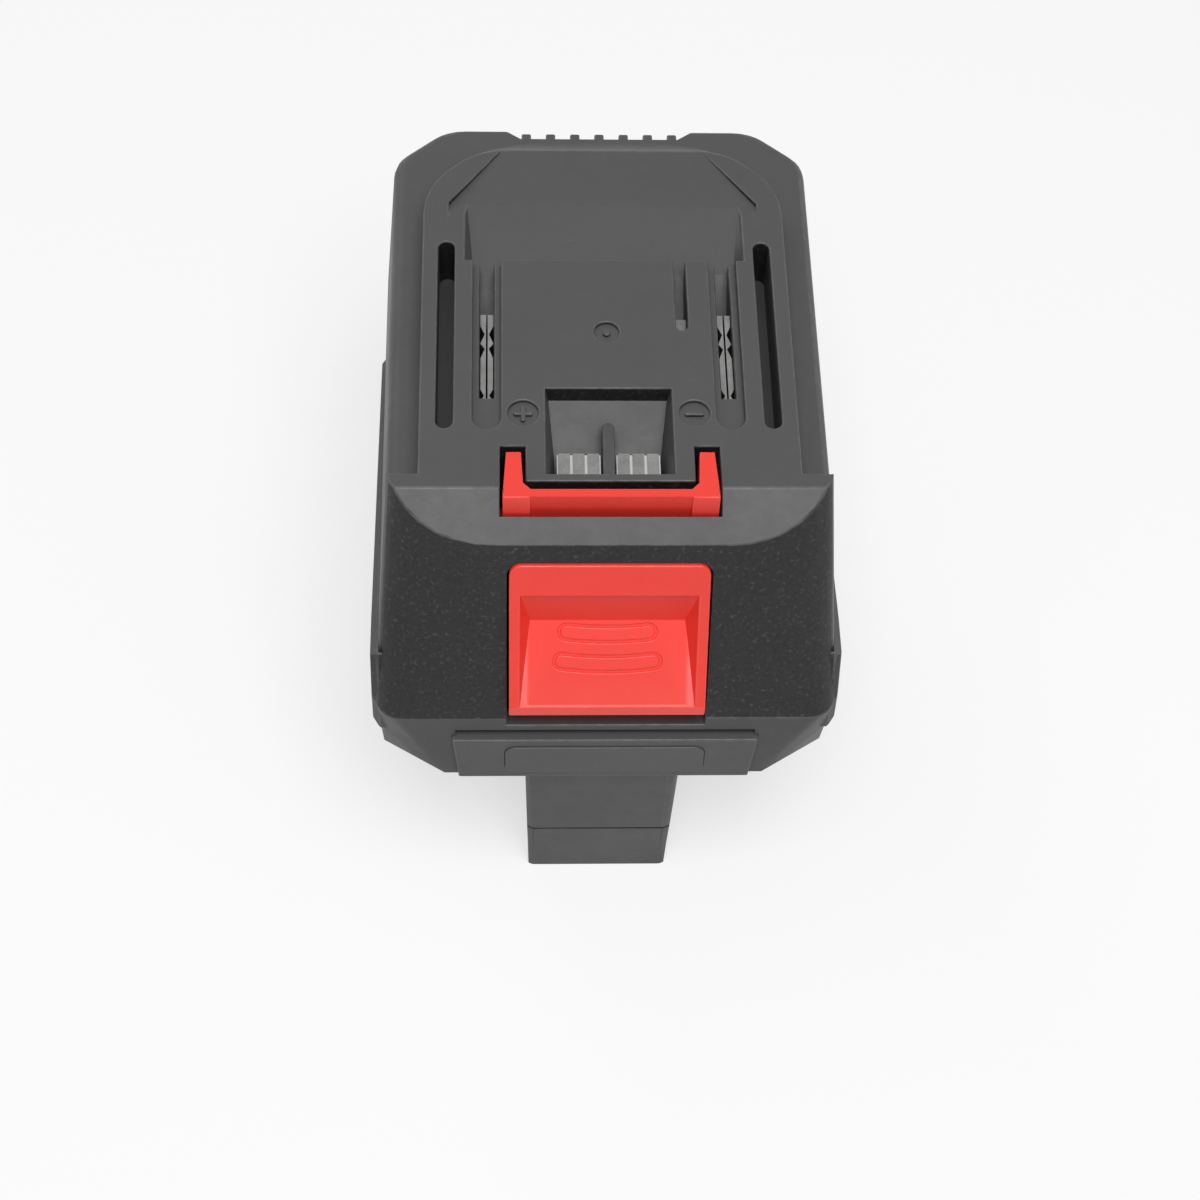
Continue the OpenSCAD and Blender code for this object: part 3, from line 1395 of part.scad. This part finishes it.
// Leads that stand on the blades' tails and end under the board
module leads(k) {
    z0 = blade_z(k) + blade_t / 2;
    for (s = [-1, 1])
        translate([s * lead_x(k), lead_y(k), z0]) cylinder(d = lead_dia, h = board_z - z0);
}
module positive_leads() {
    color([0.7, 0.1, 0.1]) leads(1);
}
module negative_leads() {
    color([0.08, 0.08, 0.08]) leads(-1);
}
module signal_leads() {
    color([0.8, 0.7, 0.1]) leads(0);
}

module cover_screws() {
    color(silver) for (s = cover_screw_xs)
        for (y = cover_screw_ys)
            translate([s * cover_screw_x, y, stem_h + sink]) rotate([180, 0, 0]) screw(lower_h - sink + bite);
}
module stem_screws() {
    color(silver) for (p = stem_screws_at)
        translate([p[0], p[1], stem_h + floor_t]) screw(floor_t + stem_bite);
}
module foot_screws() {
    color(silver) for (p = foot_screws_at)
        translate([p[0], p[1], sink]) rotate([180, 0, 0]) screw(foot_h - sink + stem_bite);
}
module right_rail_screws() {
    color(silver) each_rail_screw(1) translate([0, 0, rail_t - sink]) screw(rail_t - sink + rail_bite);
}
module left_rail_screws() {
    color(silver) each_rail_screw(-1) translate([0, 0, rail_t - sink]) screw(rail_t - sink + rail_bite);
}

top_cover();
bottom_cover();
front_plate();
badge();
release_latch();
latch_springs();
positive_clip();
negative_clip();
signal_clip();
terminal_block();
signal_socket();
signal_contacts();
circuit_board();
board_screws();
power_diodes();
capacitors();
fuse();
positive_leads();
negative_leads();
signal_leads();
stem_body();
stem_foot();
left_slide_rail();
right_slide_rail();
left_blade_holder();
right_blade_holder();
left_positive_blade();
left_negative_blade();
left_signal_blade();
right_positive_blade();
right_negative_blade();
right_signal_blade();
cover_screws();
stem_screws();
foot_screws();
left_rail_screws();
right_rail_screws();
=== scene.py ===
import bmesh
import bpy
import json
from math import radians
from mathutils import Euler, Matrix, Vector
from mathutils.bvhtree import BVHTree
from mathutils.kdtree import KDTree

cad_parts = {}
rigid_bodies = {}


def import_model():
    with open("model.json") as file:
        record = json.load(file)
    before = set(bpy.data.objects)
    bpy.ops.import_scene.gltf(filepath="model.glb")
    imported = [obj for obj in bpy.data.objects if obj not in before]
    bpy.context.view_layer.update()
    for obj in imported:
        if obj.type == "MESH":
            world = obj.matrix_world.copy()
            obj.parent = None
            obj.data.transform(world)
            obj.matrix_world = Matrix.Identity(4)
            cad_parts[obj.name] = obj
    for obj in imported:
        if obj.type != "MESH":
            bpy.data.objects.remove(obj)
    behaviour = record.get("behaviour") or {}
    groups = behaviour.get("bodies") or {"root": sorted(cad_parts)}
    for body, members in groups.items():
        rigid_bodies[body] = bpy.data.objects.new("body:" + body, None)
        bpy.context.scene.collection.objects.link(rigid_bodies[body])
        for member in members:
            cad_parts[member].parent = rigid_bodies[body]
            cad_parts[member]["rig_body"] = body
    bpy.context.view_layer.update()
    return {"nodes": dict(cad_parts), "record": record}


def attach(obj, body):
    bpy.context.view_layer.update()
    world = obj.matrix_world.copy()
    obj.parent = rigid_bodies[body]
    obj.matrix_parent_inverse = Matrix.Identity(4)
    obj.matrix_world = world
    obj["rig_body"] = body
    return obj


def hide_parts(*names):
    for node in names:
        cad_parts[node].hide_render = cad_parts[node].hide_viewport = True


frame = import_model()
nodes = frame["nodes"]

# Node helpers


def wire(tree, value, socket):
    """Links a socket, or sets a plain value."""
    if isinstance(value, bpy.types.NodeSocket):
        tree.links.new(value, socket)
    else:
        socket.default_value = value


def maths(tree, operation, a, b=0.0, clamp=False):
    """One sum, product or the like of two values."""
    n = tree.nodes.new("ShaderNodeMath")
    n.operation = operation
    n.use_clamp = clamp
    wire(tree, a, n.inputs[0])
    wire(tree, b, n.inputs[1])
    return n.outputs[0]


def spread(tree, value, low, high, to_low, to_high):
    """Maps low..high of a value to to_low..to_high, clamped."""
    n = tree.nodes.new("ShaderNodeMapRange")
    wire(tree, value, n.inputs["Value"])
    for name, v in (("From Min", low), ("From Max", high), ("To Min", to_low), ("To Max", to_high)):
        wire(tree, v, n.inputs[name])
    return n.outputs["Result"]


def tint(tree, share, a, b):
    """Colour a turning to colour b as share goes from 0 to 1."""
    n = tree.nodes.new("ShaderNodeMix")
    n.data_type = "RGBA"
    wire(tree, share, n.inputs[0])
    wire(tree, a, n.inputs[6])
    wire(tree, b, n.inputs[7])
    return n.outputs[2]


def noise(tree, place, scale, detail=2.0, rough=0.5):
    """Soft clouds, as many to the metre as scale says."""
    n = tree.nodes.new("ShaderNodeTexNoise")
    wire(tree, place, n.inputs["Vector"])
    wire(tree, scale, n.inputs["Scale"])
    n.inputs["Detail"].default_value = detail
    n.inputs["Roughness"].default_value = rough
    return n.outputs["Fac"]


def cells(tree, place, scale):
    """Distance from the middle of each cell of an uneven net."""
    n = tree.nodes.new("ShaderNodeTexVoronoi")
    wire(tree, place, n.inputs["Vector"])
    wire(tree, scale, n.inputs["Scale"])
    return n.outputs["Distance"]


def on_piece(tree):
    """The place on the piece, in metres of the shared frame."""
    return tree.nodes.new("ShaderNodeTexCoord").outputs["Object"]


def stretched(tree, place, size):
    """The same place with each axis scaled, for streaks."""
    n = tree.nodes.new("ShaderNodeMapping")
    wire(tree, place, n.inputs["Vector"])
    n.inputs["Scale"].default_value = size
    return n.outputs["Vector"]


# Effects that several materials share


def effect(name, given, gives):
    """A shader node group with named inputs (floats) and outputs (floats)."""
    tree = bpy.data.node_groups.new(name, "ShaderNodeTree")
    for socket, value in given:
        knob = tree.interface.new_socket(name=socket, in_out="INPUT", socket_type="NodeSocketFloat")
        knob.default_value = value
    for socket in gives:
        tree.interface.new_socket(name=socket, in_out="OUTPUT", socket_type="NodeSocketFloat")
    return tree, tree.nodes.new("NodeGroupInput").outputs, tree.nodes.new("NodeGroupOutput").inputs


def make_mould_grain():
    """Spark-eroded mould texture: a height, the few grains where a glint is painted and the deepest pits
    where shade is painted.
    """
    tree, given, gives = effect("mould_grain", [("Grains per metre", 4000)], ["Height", "Glint", "Pit shade"])
    place = on_piece(tree)
    soft = noise(tree, place, given["Grains per metre"], 3.0, 0.6)
    pits = cells(tree, place, maths(tree, "MULTIPLY", given["Grains per metre"], 0.7))
    height = maths(tree, "ADD", maths(tree, "MULTIPLY", soft, 0.65), maths(tree, "MULTIPLY", pits, 0.5))
    wire(tree, height, gives["Height"])
    wire(tree, spread(tree, soft, 0.58, 0.74, 0.0, 1.0), gives["Glint"])
    wire(tree, spread(tree, soft, 0.46, 0.34, 0.0, 1.0), gives["Pit shade"])
    return tree


def make_handling():
    """Uneven tone of a handled moulding, and sparse fine scuffs."""
    tree, given, gives = effect("handling", [("Patches per metre", 60)], ["Tone", "Scuff"])
    place = on_piece(tree)
    broad = noise(tree, place, given["Patches per metre"], 4.0, 0.55)
    small = noise(tree, place, maths(tree, "MULTIPLY", given["Patches per metre"], 9.0), 3.0, 0.6)
    tone = maths(tree, "ADD", maths(tree, "MULTIPLY", broad, 0.65), maths(tree, "MULTIPLY", small, 0.35))
    wire(tree, spread(tree, tone, 0.32, 0.68, 0.0, 1.0), gives["Tone"])
    streak = noise(tree, stretched(tree, place, (260, 2600, 900)), 1.0, 4.0, 0.7)
    wire(tree, maths(tree, "MULTIPLY", spread(tree, streak, 0.62, 0.7, 0.0, 1.0),
                     spread(tree, broad, 0.5, 0.62, 0.0, 1.0)), gives["Scuff"])
    return tree


def make_worn_edge_highlight():
    """Lighter strip along the rounded edges, partly rubbed wear and partly painted highlight, broken up where
    hands don't reach.
    """
    tree, given, gives = effect("worn_edge_highlight", [("Wear", 1.0)], ["Rub"])
    strip = tree.nodes.new("ShaderNodeAttribute")
    strip.attribute_name = "edge_strip"
    patchy = spread(tree, noise(tree, on_piece(tree), 420, 3.0, 0.6), 0.36, 0.62, 0.25, 1.0)
    rub_and_highlight = maths(tree, "MULTIPLY", strip.outputs["Fac"], patchy)
    wire(tree, maths(tree, "MULTIPLY", rub_and_highlight, given["Wear"], clamp=True), gives["Rub"])
    return tree


mould_grain = make_mould_grain()
handling = make_handling()
worn_edge_highlight = make_worn_edge_highlight()


def use(tree, effect_tree, **values):
    """Places a shared effect in a material, with its own values."""
    n = tree.nodes.new("ShaderNodeGroup")
    n.node_tree = effect_tree
    for name, value in values.items():
        n.inputs[name.replace("_", " ")].default_value = value
    return n.outputs


# Materials


GRAIN_UNIT = 1e-5           # metres of relief for a height of 1
# How far a face looks up: the collar lies over these, the front wall under
WALL_FROM, WALL_FULL = 0.66, 0.56
# How far a face looks to the rear: the sides lie over these, the front wall under
FRONT_FROM, FRONT_FULL = -0.2, -0.45
PARTING_Z = 0.055           # where the upper shell begins
PARTING_FADE = 6e-4         # over which the front's texture and painted shade fade out below it


def blank(name):
    """A new material, its node tree and its shader."""
    mat = bpy.data.materials.new(name)
    mat.use_nodes = True
    tree = mat.node_tree
    return mat, tree, tree.nodes["Principled BSDF"]


def shade(colour, k):
    """A colour made darker or lighter by a factor."""
    return tuple(min(1.0, c * k) for c in colour) + (1.0,)


def bump(tree, height, depth, shader):
    """Relief on a shader, depth metres for a height of 1."""
    n = tree.nodes.new("ShaderNodeBump")
    n.inputs["Distance"].default_value = depth
    wire(tree, height, n.inputs["Height"])
    tree.links.new(n.outputs["Normal"], shader.inputs["Normal"])


def axes_of(tree, vector):
    """A vector's X, Y and Z."""
    n = tree.nodes.new("ShaderNodeSeparateXYZ")
    tree.links.new(vector, n.inputs[0])
    return n.outputs


def front_wall(tree):
    """1 on the upper shell's leaning front and round its corners, 0 on the collar, top and label bar; it
    places the front's painted shade and its coarser relief.
    """
    facing = axes_of(tree, tree.nodes.new("ShaderNodeNewGeometry").outputs["True Normal"])
    steep = spread(tree, facing["Z"], WALL_FROM, WALL_FULL, 0.0, 1.0)
    forward = spread(tree, facing["Y"], FRONT_FROM, FRONT_FULL, 0.0, 1.0)
    height = axes_of(tree, on_piece(tree))["Z"]
    above = spread(tree, height, PARTING_Z - PARTING_FADE, PARTING_Z, 0.0, 1.0)
    return maths(tree, "MULTIPLY", maths(tree, "MULTIPLY", steep, forward), above)


def moulded(name, colour, rough, grains, depth, edge_wear_and_highlight=0.5, gloss=0.4, uneven=0.06, coarse_and_shaded=None):
    """Moulded plastic. coarse = (colour, grains, depth) of a rougher texture on the front wall, where the far
    darker colour is painted shade.
    """
    mat, tree, shader = blank(name)
    grain = use(tree, mould_grain, Grains_per_metre=grains)
    worn = use(tree, handling)
    edge = use(tree, worn_edge_highlight, Wear=edge_wear_and_highlight)
    base = tint(tree, worn["Tone"], shade(colour, 1 - uneven), shade(colour, 1 + uneven))
    # Painted glint: a few grains lighter.
    base = tint(tree, maths(tree, "MULTIPLY", grain["Glint"], 0.25), base, shade(colour, 1.4))
    height = maths(tree, "MULTIPLY", grain["Height"], depth / GRAIN_UNIT)
    # On the front wall the base is painted shade: far darker than the grey, darker still in the pits, with
    # painted glints on the high grains; the coarser relief is real.
    if coarse_and_shaded:
        front_shade_colour, front_grains, front_depth = coarse_and_shaded
        front = front_wall(tree)
        rough_grain = use(tree, mould_grain, Grains_per_metre=front_grains)
        dark = tint(tree, worn["Tone"], shade(front_shade_colour, 0.85), shade(front_shade_colour, 1.15))
        dark = tint(tree, maths(tree, "MULTIPLY", rough_grain["Pit shade"], 0.8), dark, shade(front_shade_colour, 0.45))
        dark = tint(tree, maths(tree, "MULTIPLY", rough_grain["Glint"], 0.9), dark, shade(front_shade_colour, 5))
        base = tint(tree, front, base, dark)
        deep = maths(tree, "MULTIPLY", rough_grain["Height"], front_depth / GRAIN_UNIT)
        height = maths(tree, "ADD", height, maths(tree, "MULTIPLY", deep, front))
    base = tint(tree, maths(tree, "MULTIPLY", worn["Scuff"], 0.25), base, shade(colour, 1.7))
    # Rounded edges lighter: partly real wear, partly painted highlight.
    base = tint(tree, edge["Rub"], base, shade(colour, 1.75))
    tree.links.new(base, shader.inputs["Base Color"])
    sheen = maths(tree, "SUBTRACT", spread(tree, worn["Tone"], 0, 1, rough + 0.06, rough - 0.06),
                  maths(tree, "MULTIPLY", edge["Rub"], 0.12))
    tree.links.new(sheen, shader.inputs["Roughness"])
    shader.inputs["Specular IOR Level"].default_value = gloss
    bump(tree, height, GRAIN_UNIT, shader)
    return mat


def plated(name, colour, rough, streaks):
    """Plated or tinned metal with fine drawing streaks and dull spots."""
    mat, tree, shader = blank(name)
    place = on_piece(tree)
    lines = noise(tree, stretched(tree, place, streaks), 1.0, 3.0, 0.6)
    worn = use(tree, handling, Patches_per_metre=220)
    base = tint(tree, worn["Tone"], shade(colour, 0.65), shade(colour, 1.1))
    base = tint(tree, spread(tree, lines, 0.55, 0.75, 0.0, 0.4), base, shade(colour, 0.5))
    tree.links.new(base, shader.inputs["Base Color"])
    shader.inputs["Metallic"].default_value = 1.0
    tree.links.new(spread(tree, lines, 0.3, 0.7, rough - 0.08, rough + 0.14), shader.inputs["Roughness"])
    bump(tree, lines, 8e-6, shader)
    return mat


def laminate(name, colour):
    """Lacquered circuit board with weave under the lacquer and faint copper tracks."""
    mat, tree, shader = blank(name)
    place = on_piece(tree)
    weave = tree.nodes.new("ShaderNodeTexChecker")
    weave.inputs["Scale"].default_value = 2600
    wire(tree, place, weave.inputs["Vector"])
    tracks = tree.nodes.new("ShaderNodeTexBrick")
    wire(tree, place, tracks.inputs["Vector"])
    tracks.inputs["Scale"].default_value = 110
    tracks.inputs["Mortar Size"].default_value = 0.03
    worn = use(tree, handling, Patches_per_metre=120)
    base = tint(tree, worn["Tone"], shade(colour, 0.8), shade(colour, 1.15))
    base = tint(tree, maths(tree, "MULTIPLY", weave.outputs["Fac"], 0.12), base, shade(colour, 1.5))
    base = tint(tree, maths(tree, "MULTIPLY", tracks.outputs["Fac"], 0.5), base, (0.16, 0.3, 0.12, 1))
    tree.links.new(base, shader.inputs["Base Color"])
    tree.links.new(spread(tree, worn["Tone"], 0, 1, 0.3, 0.42), shader.inputs["Roughness"])
    bump(tree, tracks.outputs["Fac"], 2e-5, shader)
    return mat


def insulation(name, colour):
    """Rubbery lead insulation with a dull, slightly dusty skin."""
    mat, tree, shader = blank(name)
    grain = use(tree, mould_grain, Grains_per_metre=2600)
    worn = use(tree, handling, Patches_per_metre=180)
    base = tint(tree, worn["Tone"], shade(colour, 0.8), shade(colour, 1.15))
    tree.links.new(tint(tree, maths(tree, "MULTIPLY", worn["Scuff"], 0.3), base, (0.5, 0.5, 0.48, 1)),
                   shader.inputs["Base Color"])
    tree.links.new(spread(tree, worn["Tone"], 0, 1, 0.5, 0.66), shader.inputs["Roughness"])
    bump(tree, grain["Height"], 1.2e-5, shader)
    return mat


GREY = (0.068, 0.068, 0.07)
# Painted shade: the front wall's base, far darker than the grey, stands in for the shade on the leaning
# front.
FRONT_SHADED = (0.012, 0.012, 0.0125)
DARK = (0.053, 0.053, 0.055)
RED = (0.83, 0.045, 0.03)
finishes = {
    "grey_plastic": moulded("grey_plastic", GREY, 0.5, 4200, 1.6e-5, edge_wear_and_highlight=0.55, coarse_and_shaded=(FRONT_SHADED, 1500, 4.5e-5)),
    "dark_plastic": moulded("dark_plastic", DARK, 0.5, 4200, 1.4e-5, edge_wear_and_highlight=0.55),
    "badge": moulded("badge", GREY, 0.45, 6000, 8e-6, edge_wear_and_highlight=0.4),
    "red_plastic": moulded("red_plastic", RED, 0.42, 5200, 9e-6, edge_wear_and_highlight=0.3, gloss=0.5, uneven=0.03),
    "steel": plated("steel", (0.6, 0.6, 0.62), 0.3, (900, 900, 5200)),
    # Painted shade: the contacts' base is kept dark, for the slots they sit deep in.
    "contact": plated("contact", (0.34, 0.34, 0.335), 0.34, (5200, 420, 900)),
    "black_plastic": moulded("black_plastic", (0.028, 0.028, 0.03), 0.55, 3200, 1.8e-5, edge_wear_and_highlight=0.5),
    "socket_plastic": moulded("socket_plastic", (0.6, 0.6, 0.58), 0.5, 4000, 1e-5, edge_wear_and_highlight=0.2),
    "board": laminate("board", (0.03, 0.16, 0.08)),
    "capacitor": plated("capacitor", (0.16, 0.2, 0.3), 0.4, (900, 900, 3000)),
    "fuse": moulded("fuse", (0.7, 0.48, 0.12), 0.3, 5000, 5e-6, edge_wear_and_highlight=0.2, gloss=0.5),
    "red_lead": insulation("red_lead", (0.6, 0.04, 0.03)),
    "black_lead": insulation("black_lead", (0.02, 0.02, 0.02)),
    "yellow_lead": insulation("yellow_lead", (0.75, 0.6, 0.05)),
}
slot_of = {s["node"]: s["material_slot"] for s in frame["record"]["subparts"]}


def paint(piece, finish):
    """Gives a piece one finish all over."""
    piece.data.materials.clear()
    piece.data.materials.append(finish)


for name, piece in nodes.items():
    for held in piece.material_slots:
        held.material = finishes[slot_of[name]]

# Mouldings with rounded edges


SHARP = radians(28)         # edges over this angle are edges, the rest is one smooth skin
FLAT = radians(0.3)         # neighbours that turn by less than this become one face
MERGE = 5e-5                # metres: corners closer than this become one
SPECK = 1e-11               # square metres: smaller triangles don't show
TURNED = -0.2               # under this, a triangle faces away from the skin below it
REACH = 1.3                 # of the radius: farther off, a triangle has left the skin
LEAST_SHARE = 0.3           # of the radius: an edge that needs less stays as it is
ROUNDING_TRIES = 12
ROUNDING_STEPS = 4
FLAT_WEIGHT = 90            # how much the large faces lead the shading of their rounded edges

SHELL_RADIUS = 3e-4
STEM_RADIUS = 4e-4
LATCH_RADIUS = 2.5e-4
SMALL_RADIUS = 2e-4


def mark_edge_strips(piece):
    """Keeps the strips that the rounding made as an attribute, for the edges' wear and painted highlight."""
    mesh = piece.data
    strip = mesh.attributes.new("edge_strip", "FLOAT", "FACE")
    for face in mesh.polygons:
        strip.data[face.index].value = float(face.material_index)
        face.material_index = 0


def folded(mesh, skin, reach):
    """Corners of the triangles that have turned over or left the solid's skin."""
    mesh.calc_loop_triangles()
    corners = []
    for t in mesh.loop_triangles:
        if t.area > SPECK:
            _, normal, _, gap = skin.find_nearest(t.center)
            if gap > reach or t.normal.dot(normal) < TURNED:
                corners += [mesh.vertices[i].co.copy() for i in t.vertices]
    return corners


def outward_edges(mesh):
    """1 for each edge that stands out by more than SHARP, 0 for the others."""
    edit = bmesh.new()
    edit.from_mesh(mesh)
    share = []
    for e in edit.edges:
        stands_out = len(e.link_faces) == 2 and e.is_convex and e.calc_face_angle(0) > SHARP
        share.append(float(stands_out))
    edit.free()
    return share


def ease_edges(piece, source, radius):
    """Weighs the edges for the rounding: full radius, or less where a full one would fold the mesh."""
    mesh = piece.data
    skin = BVHTree.FromPolygons([v.co for v in source.vertices], [f.vertices for f in source.polygons])
    ends = KDTree(len(mesh.vertices))
    for v in mesh.vertices:
        ends.insert(v.co, v.index)
    ends.balance()
    share = outward_edges(mesh)
    weight = mesh.attributes.new("bevel_weight_edge", "FLOAT", "EDGE")
    for _ in range(ROUNDING_TRIES):
        weight.data.foreach_set("value", share)
        mesh.update()
        trial = piece.evaluated_get(bpy.context.evaluated_depsgraph_get())
        bad = folded(trial.to_mesh(), skin, REACH * radius)
        trial.to_mesh_clear()
        near = {ends.find(corner)[1] for corner in bad}
        tight = [e.index for e in mesh.edges if share[e.index] and near.intersection(e.vertices)]
        if not tight:
            return
        for i in tight:
            share[i] = share[i] / 2 if share[i] > LEAST_SHARE else 0.0


def rounded(node, name, radius):
    """A copy of a moulded node with small radii on its outward edges."""
    bpy.ops.object.select_all(action="DESELECT")
    source = nodes[node]
    source.select_set(True)
    bpy.context.view_layer.objects.active = source
    bpy.ops.object.duplicate()
    piece = bpy.context.object
    piece.name = name
    piece.parent = None
    body = piece["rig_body"]
    for key in list(piece.keys()):
        del piece[key]
    bpy.ops.object.mode_set(mode="EDIT")
    bpy.ops.mesh.select_all(action="SELECT")
    bpy.ops.mesh.remove_doubles(threshold=MERGE)
    bpy.ops.mesh.dissolve_limited(angle_limit=FLAT)
    bpy.ops.mesh.select_all(action="SELECT")
    bpy.ops.mesh.dissolve_degenerate(threshold=MERGE)
    bpy.ops.object.mode_set(mode="OBJECT")
    finish = finishes[slot_of[node]]
    paint(piece, finish)
    piece.data.materials.append(finish)
    cut = piece.modifiers.new("radius", "BEVEL")
    cut.width = radius
    cut.segments = ROUNDING_STEPS
    cut.limit_method = "WEIGHT"
    cut.use_clamp_overlap = False
    cut.loop_slide = False
    cut.material = 1
    ease_edges(piece, source.data, radius)
    bpy.ops.object.modifier_apply(modifier="radius")
    mark_edge_strips(piece)
    paint(piece, finish)
    bpy.ops.object.shade_smooth_by_angle(angle=SHARP)
    flat = piece.modifiers.new("flats", "WEIGHTED_NORMAL")
    flat.keep_sharp = True
    flat.weight = FLAT_WEIGHT
    bpy.ops.object.modifier_apply(modifier="flats")
    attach(piece, body)
    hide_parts(node)


rounded("top_cover", "upper_shell", SHELL_RADIUS)
rounded("bottom_cover", "lower_shell", SHELL_RADIUS)
rounded("release_latch", "latch_slider", LATCH_RADIUS)
rounded("stem_body", "stem_neck", STEM_RADIUS)
rounded("stem_foot", "stem_end", STEM_RADIUS)
rounded("front_plate", "label_bar", SHELL_RADIUS)
rounded("badge", "label_blank", SMALL_RADIUS)
for side in ("left", "right"):
    rounded(f"{side}_slide_rail", f"{side}_rail", SHELL_RADIUS)
for side in ("left", "right"):
    rounded(f"{side}_blade_holder", f"{side}_blade_block", SMALL_RADIUS)

# Camera, floor and light

# The view is fitted to the photograph: metres, radians, and millimetres for the lens
VIEW_PLACE = (-0.017096, -0.248686, 0.410794)
VIEW_TURN = (0.557635, -0.032969, -0.021791)
VIEW_LENS = 72.565
VIEW_SENSOR = 36

FLOOR_SIZE = 6
FLOOR_WHITE = 0.62          # share of plain white in the floor, where the floor itself is seen
SKY_LIGHT = 0.3
SKY_WHITE = 0.5             # added to the sky where the sky itself is seen
LAMP_AIM = (0, 0, 0.06)


def set_camera():
    lens = bpy.data.cameras.new("view")
    lens.lens = VIEW_LENS
    lens.sensor_width = VIEW_SENSOR
    camera = bpy.data.objects.new("view", lens)
    bpy.context.scene.collection.objects.link(camera)
    camera.location = VIEW_PLACE
    camera.rotation_euler = Euler(VIEW_TURN, "XYZ")
    bpy.context.scene.camera = camera


def seen(tree, share):
    """share for rays that show the background, straight or mirrored, and 0 for rays that light the object."""
    ray = tree.nodes.new("ShaderNodeLightPath").outputs
    shown = maths(tree, "MAXIMUM", ray["Is Camera Ray"],
                  maths(tree, "MAXIMUM", ray["Is Glossy Ray"], ray["Is Transmission Ray"]))
    return maths(tree, "MULTIPLY", shown, share)


def floor_paper():
    """White paper that keeps the object's shadow."""
    mat, tree, shader = blank("floor_paper")
    mottle = noise(tree, on_piece(tree), 3.0, 2.0, 0.5)
    colour = tint(tree, mottle, (0.93, 0.93, 0.93, 1), (0.96, 0.96, 0.96, 1))
    tree.links.new(colour, shader.inputs["Base Color"])
    shader.inputs["Roughness"].default_value = 0.9
    shader.inputs["Specular IOR Level"].default_value = 0.1
    white = tree.nodes.new("ShaderNodeEmission")
    blend = tree.nodes.new("ShaderNodeMixShader")
    tree.links.new(seen(tree, FLOOR_WHITE), blend.inputs[0])
    tree.links.new(shader.outputs[0], blend.inputs[1])
    tree.links.new(white.outputs[0], blend.inputs[2])
    tree.links.new(blend.outputs[0], tree.nodes["Material Output"].inputs["Surface"])
    return mat


def lay_floor():
    bpy.ops.object.select_all(action="DESELECT")
    bpy.ops.mesh.primitive_plane_add(size=FLOOR_SIZE, location=(0, 0, 0))
    floor = bpy.context.object
    floor.name = "floor"
    paint(floor, floor_paper())


def softbox(name, place, size, power):
    data = bpy.data.lights.new(name, "AREA")
    data.size = size
    data.energy = power
    lamp = bpy.data.objects.new(name, data)
    bpy.context.scene.collection.objects.link(lamp)
    lamp.location = place
    lamp.rotation_euler = (Vector(LAMP_AIM) - Vector(place)).to_track_quat("-Z", "Y").to_euler()


def light_sky():
    studio = bpy.data.worlds.new("studio")
    bpy.context.scene.world = studio
    studio.use_nodes = True
    sky = studio.node_tree
    glow = sky.nodes["Background"].inputs
    glow["Color"].default_value = (1, 1, 1, 1)
    sky.links.new(maths(sky, "ADD", seen(sky, SKY_WHITE), SKY_LIGHT), glow["Strength"])


set_camera()
lay_floor()
softbox("key_box", (0.05, -0.38, 1.04), 0.6, 8.6)
softbox("rear_box", (-0.5, 0.9, 0.6), 0.5, 1.5)
light_sky()
bpy.context.scene.view_settings.view_transform = "Standard"
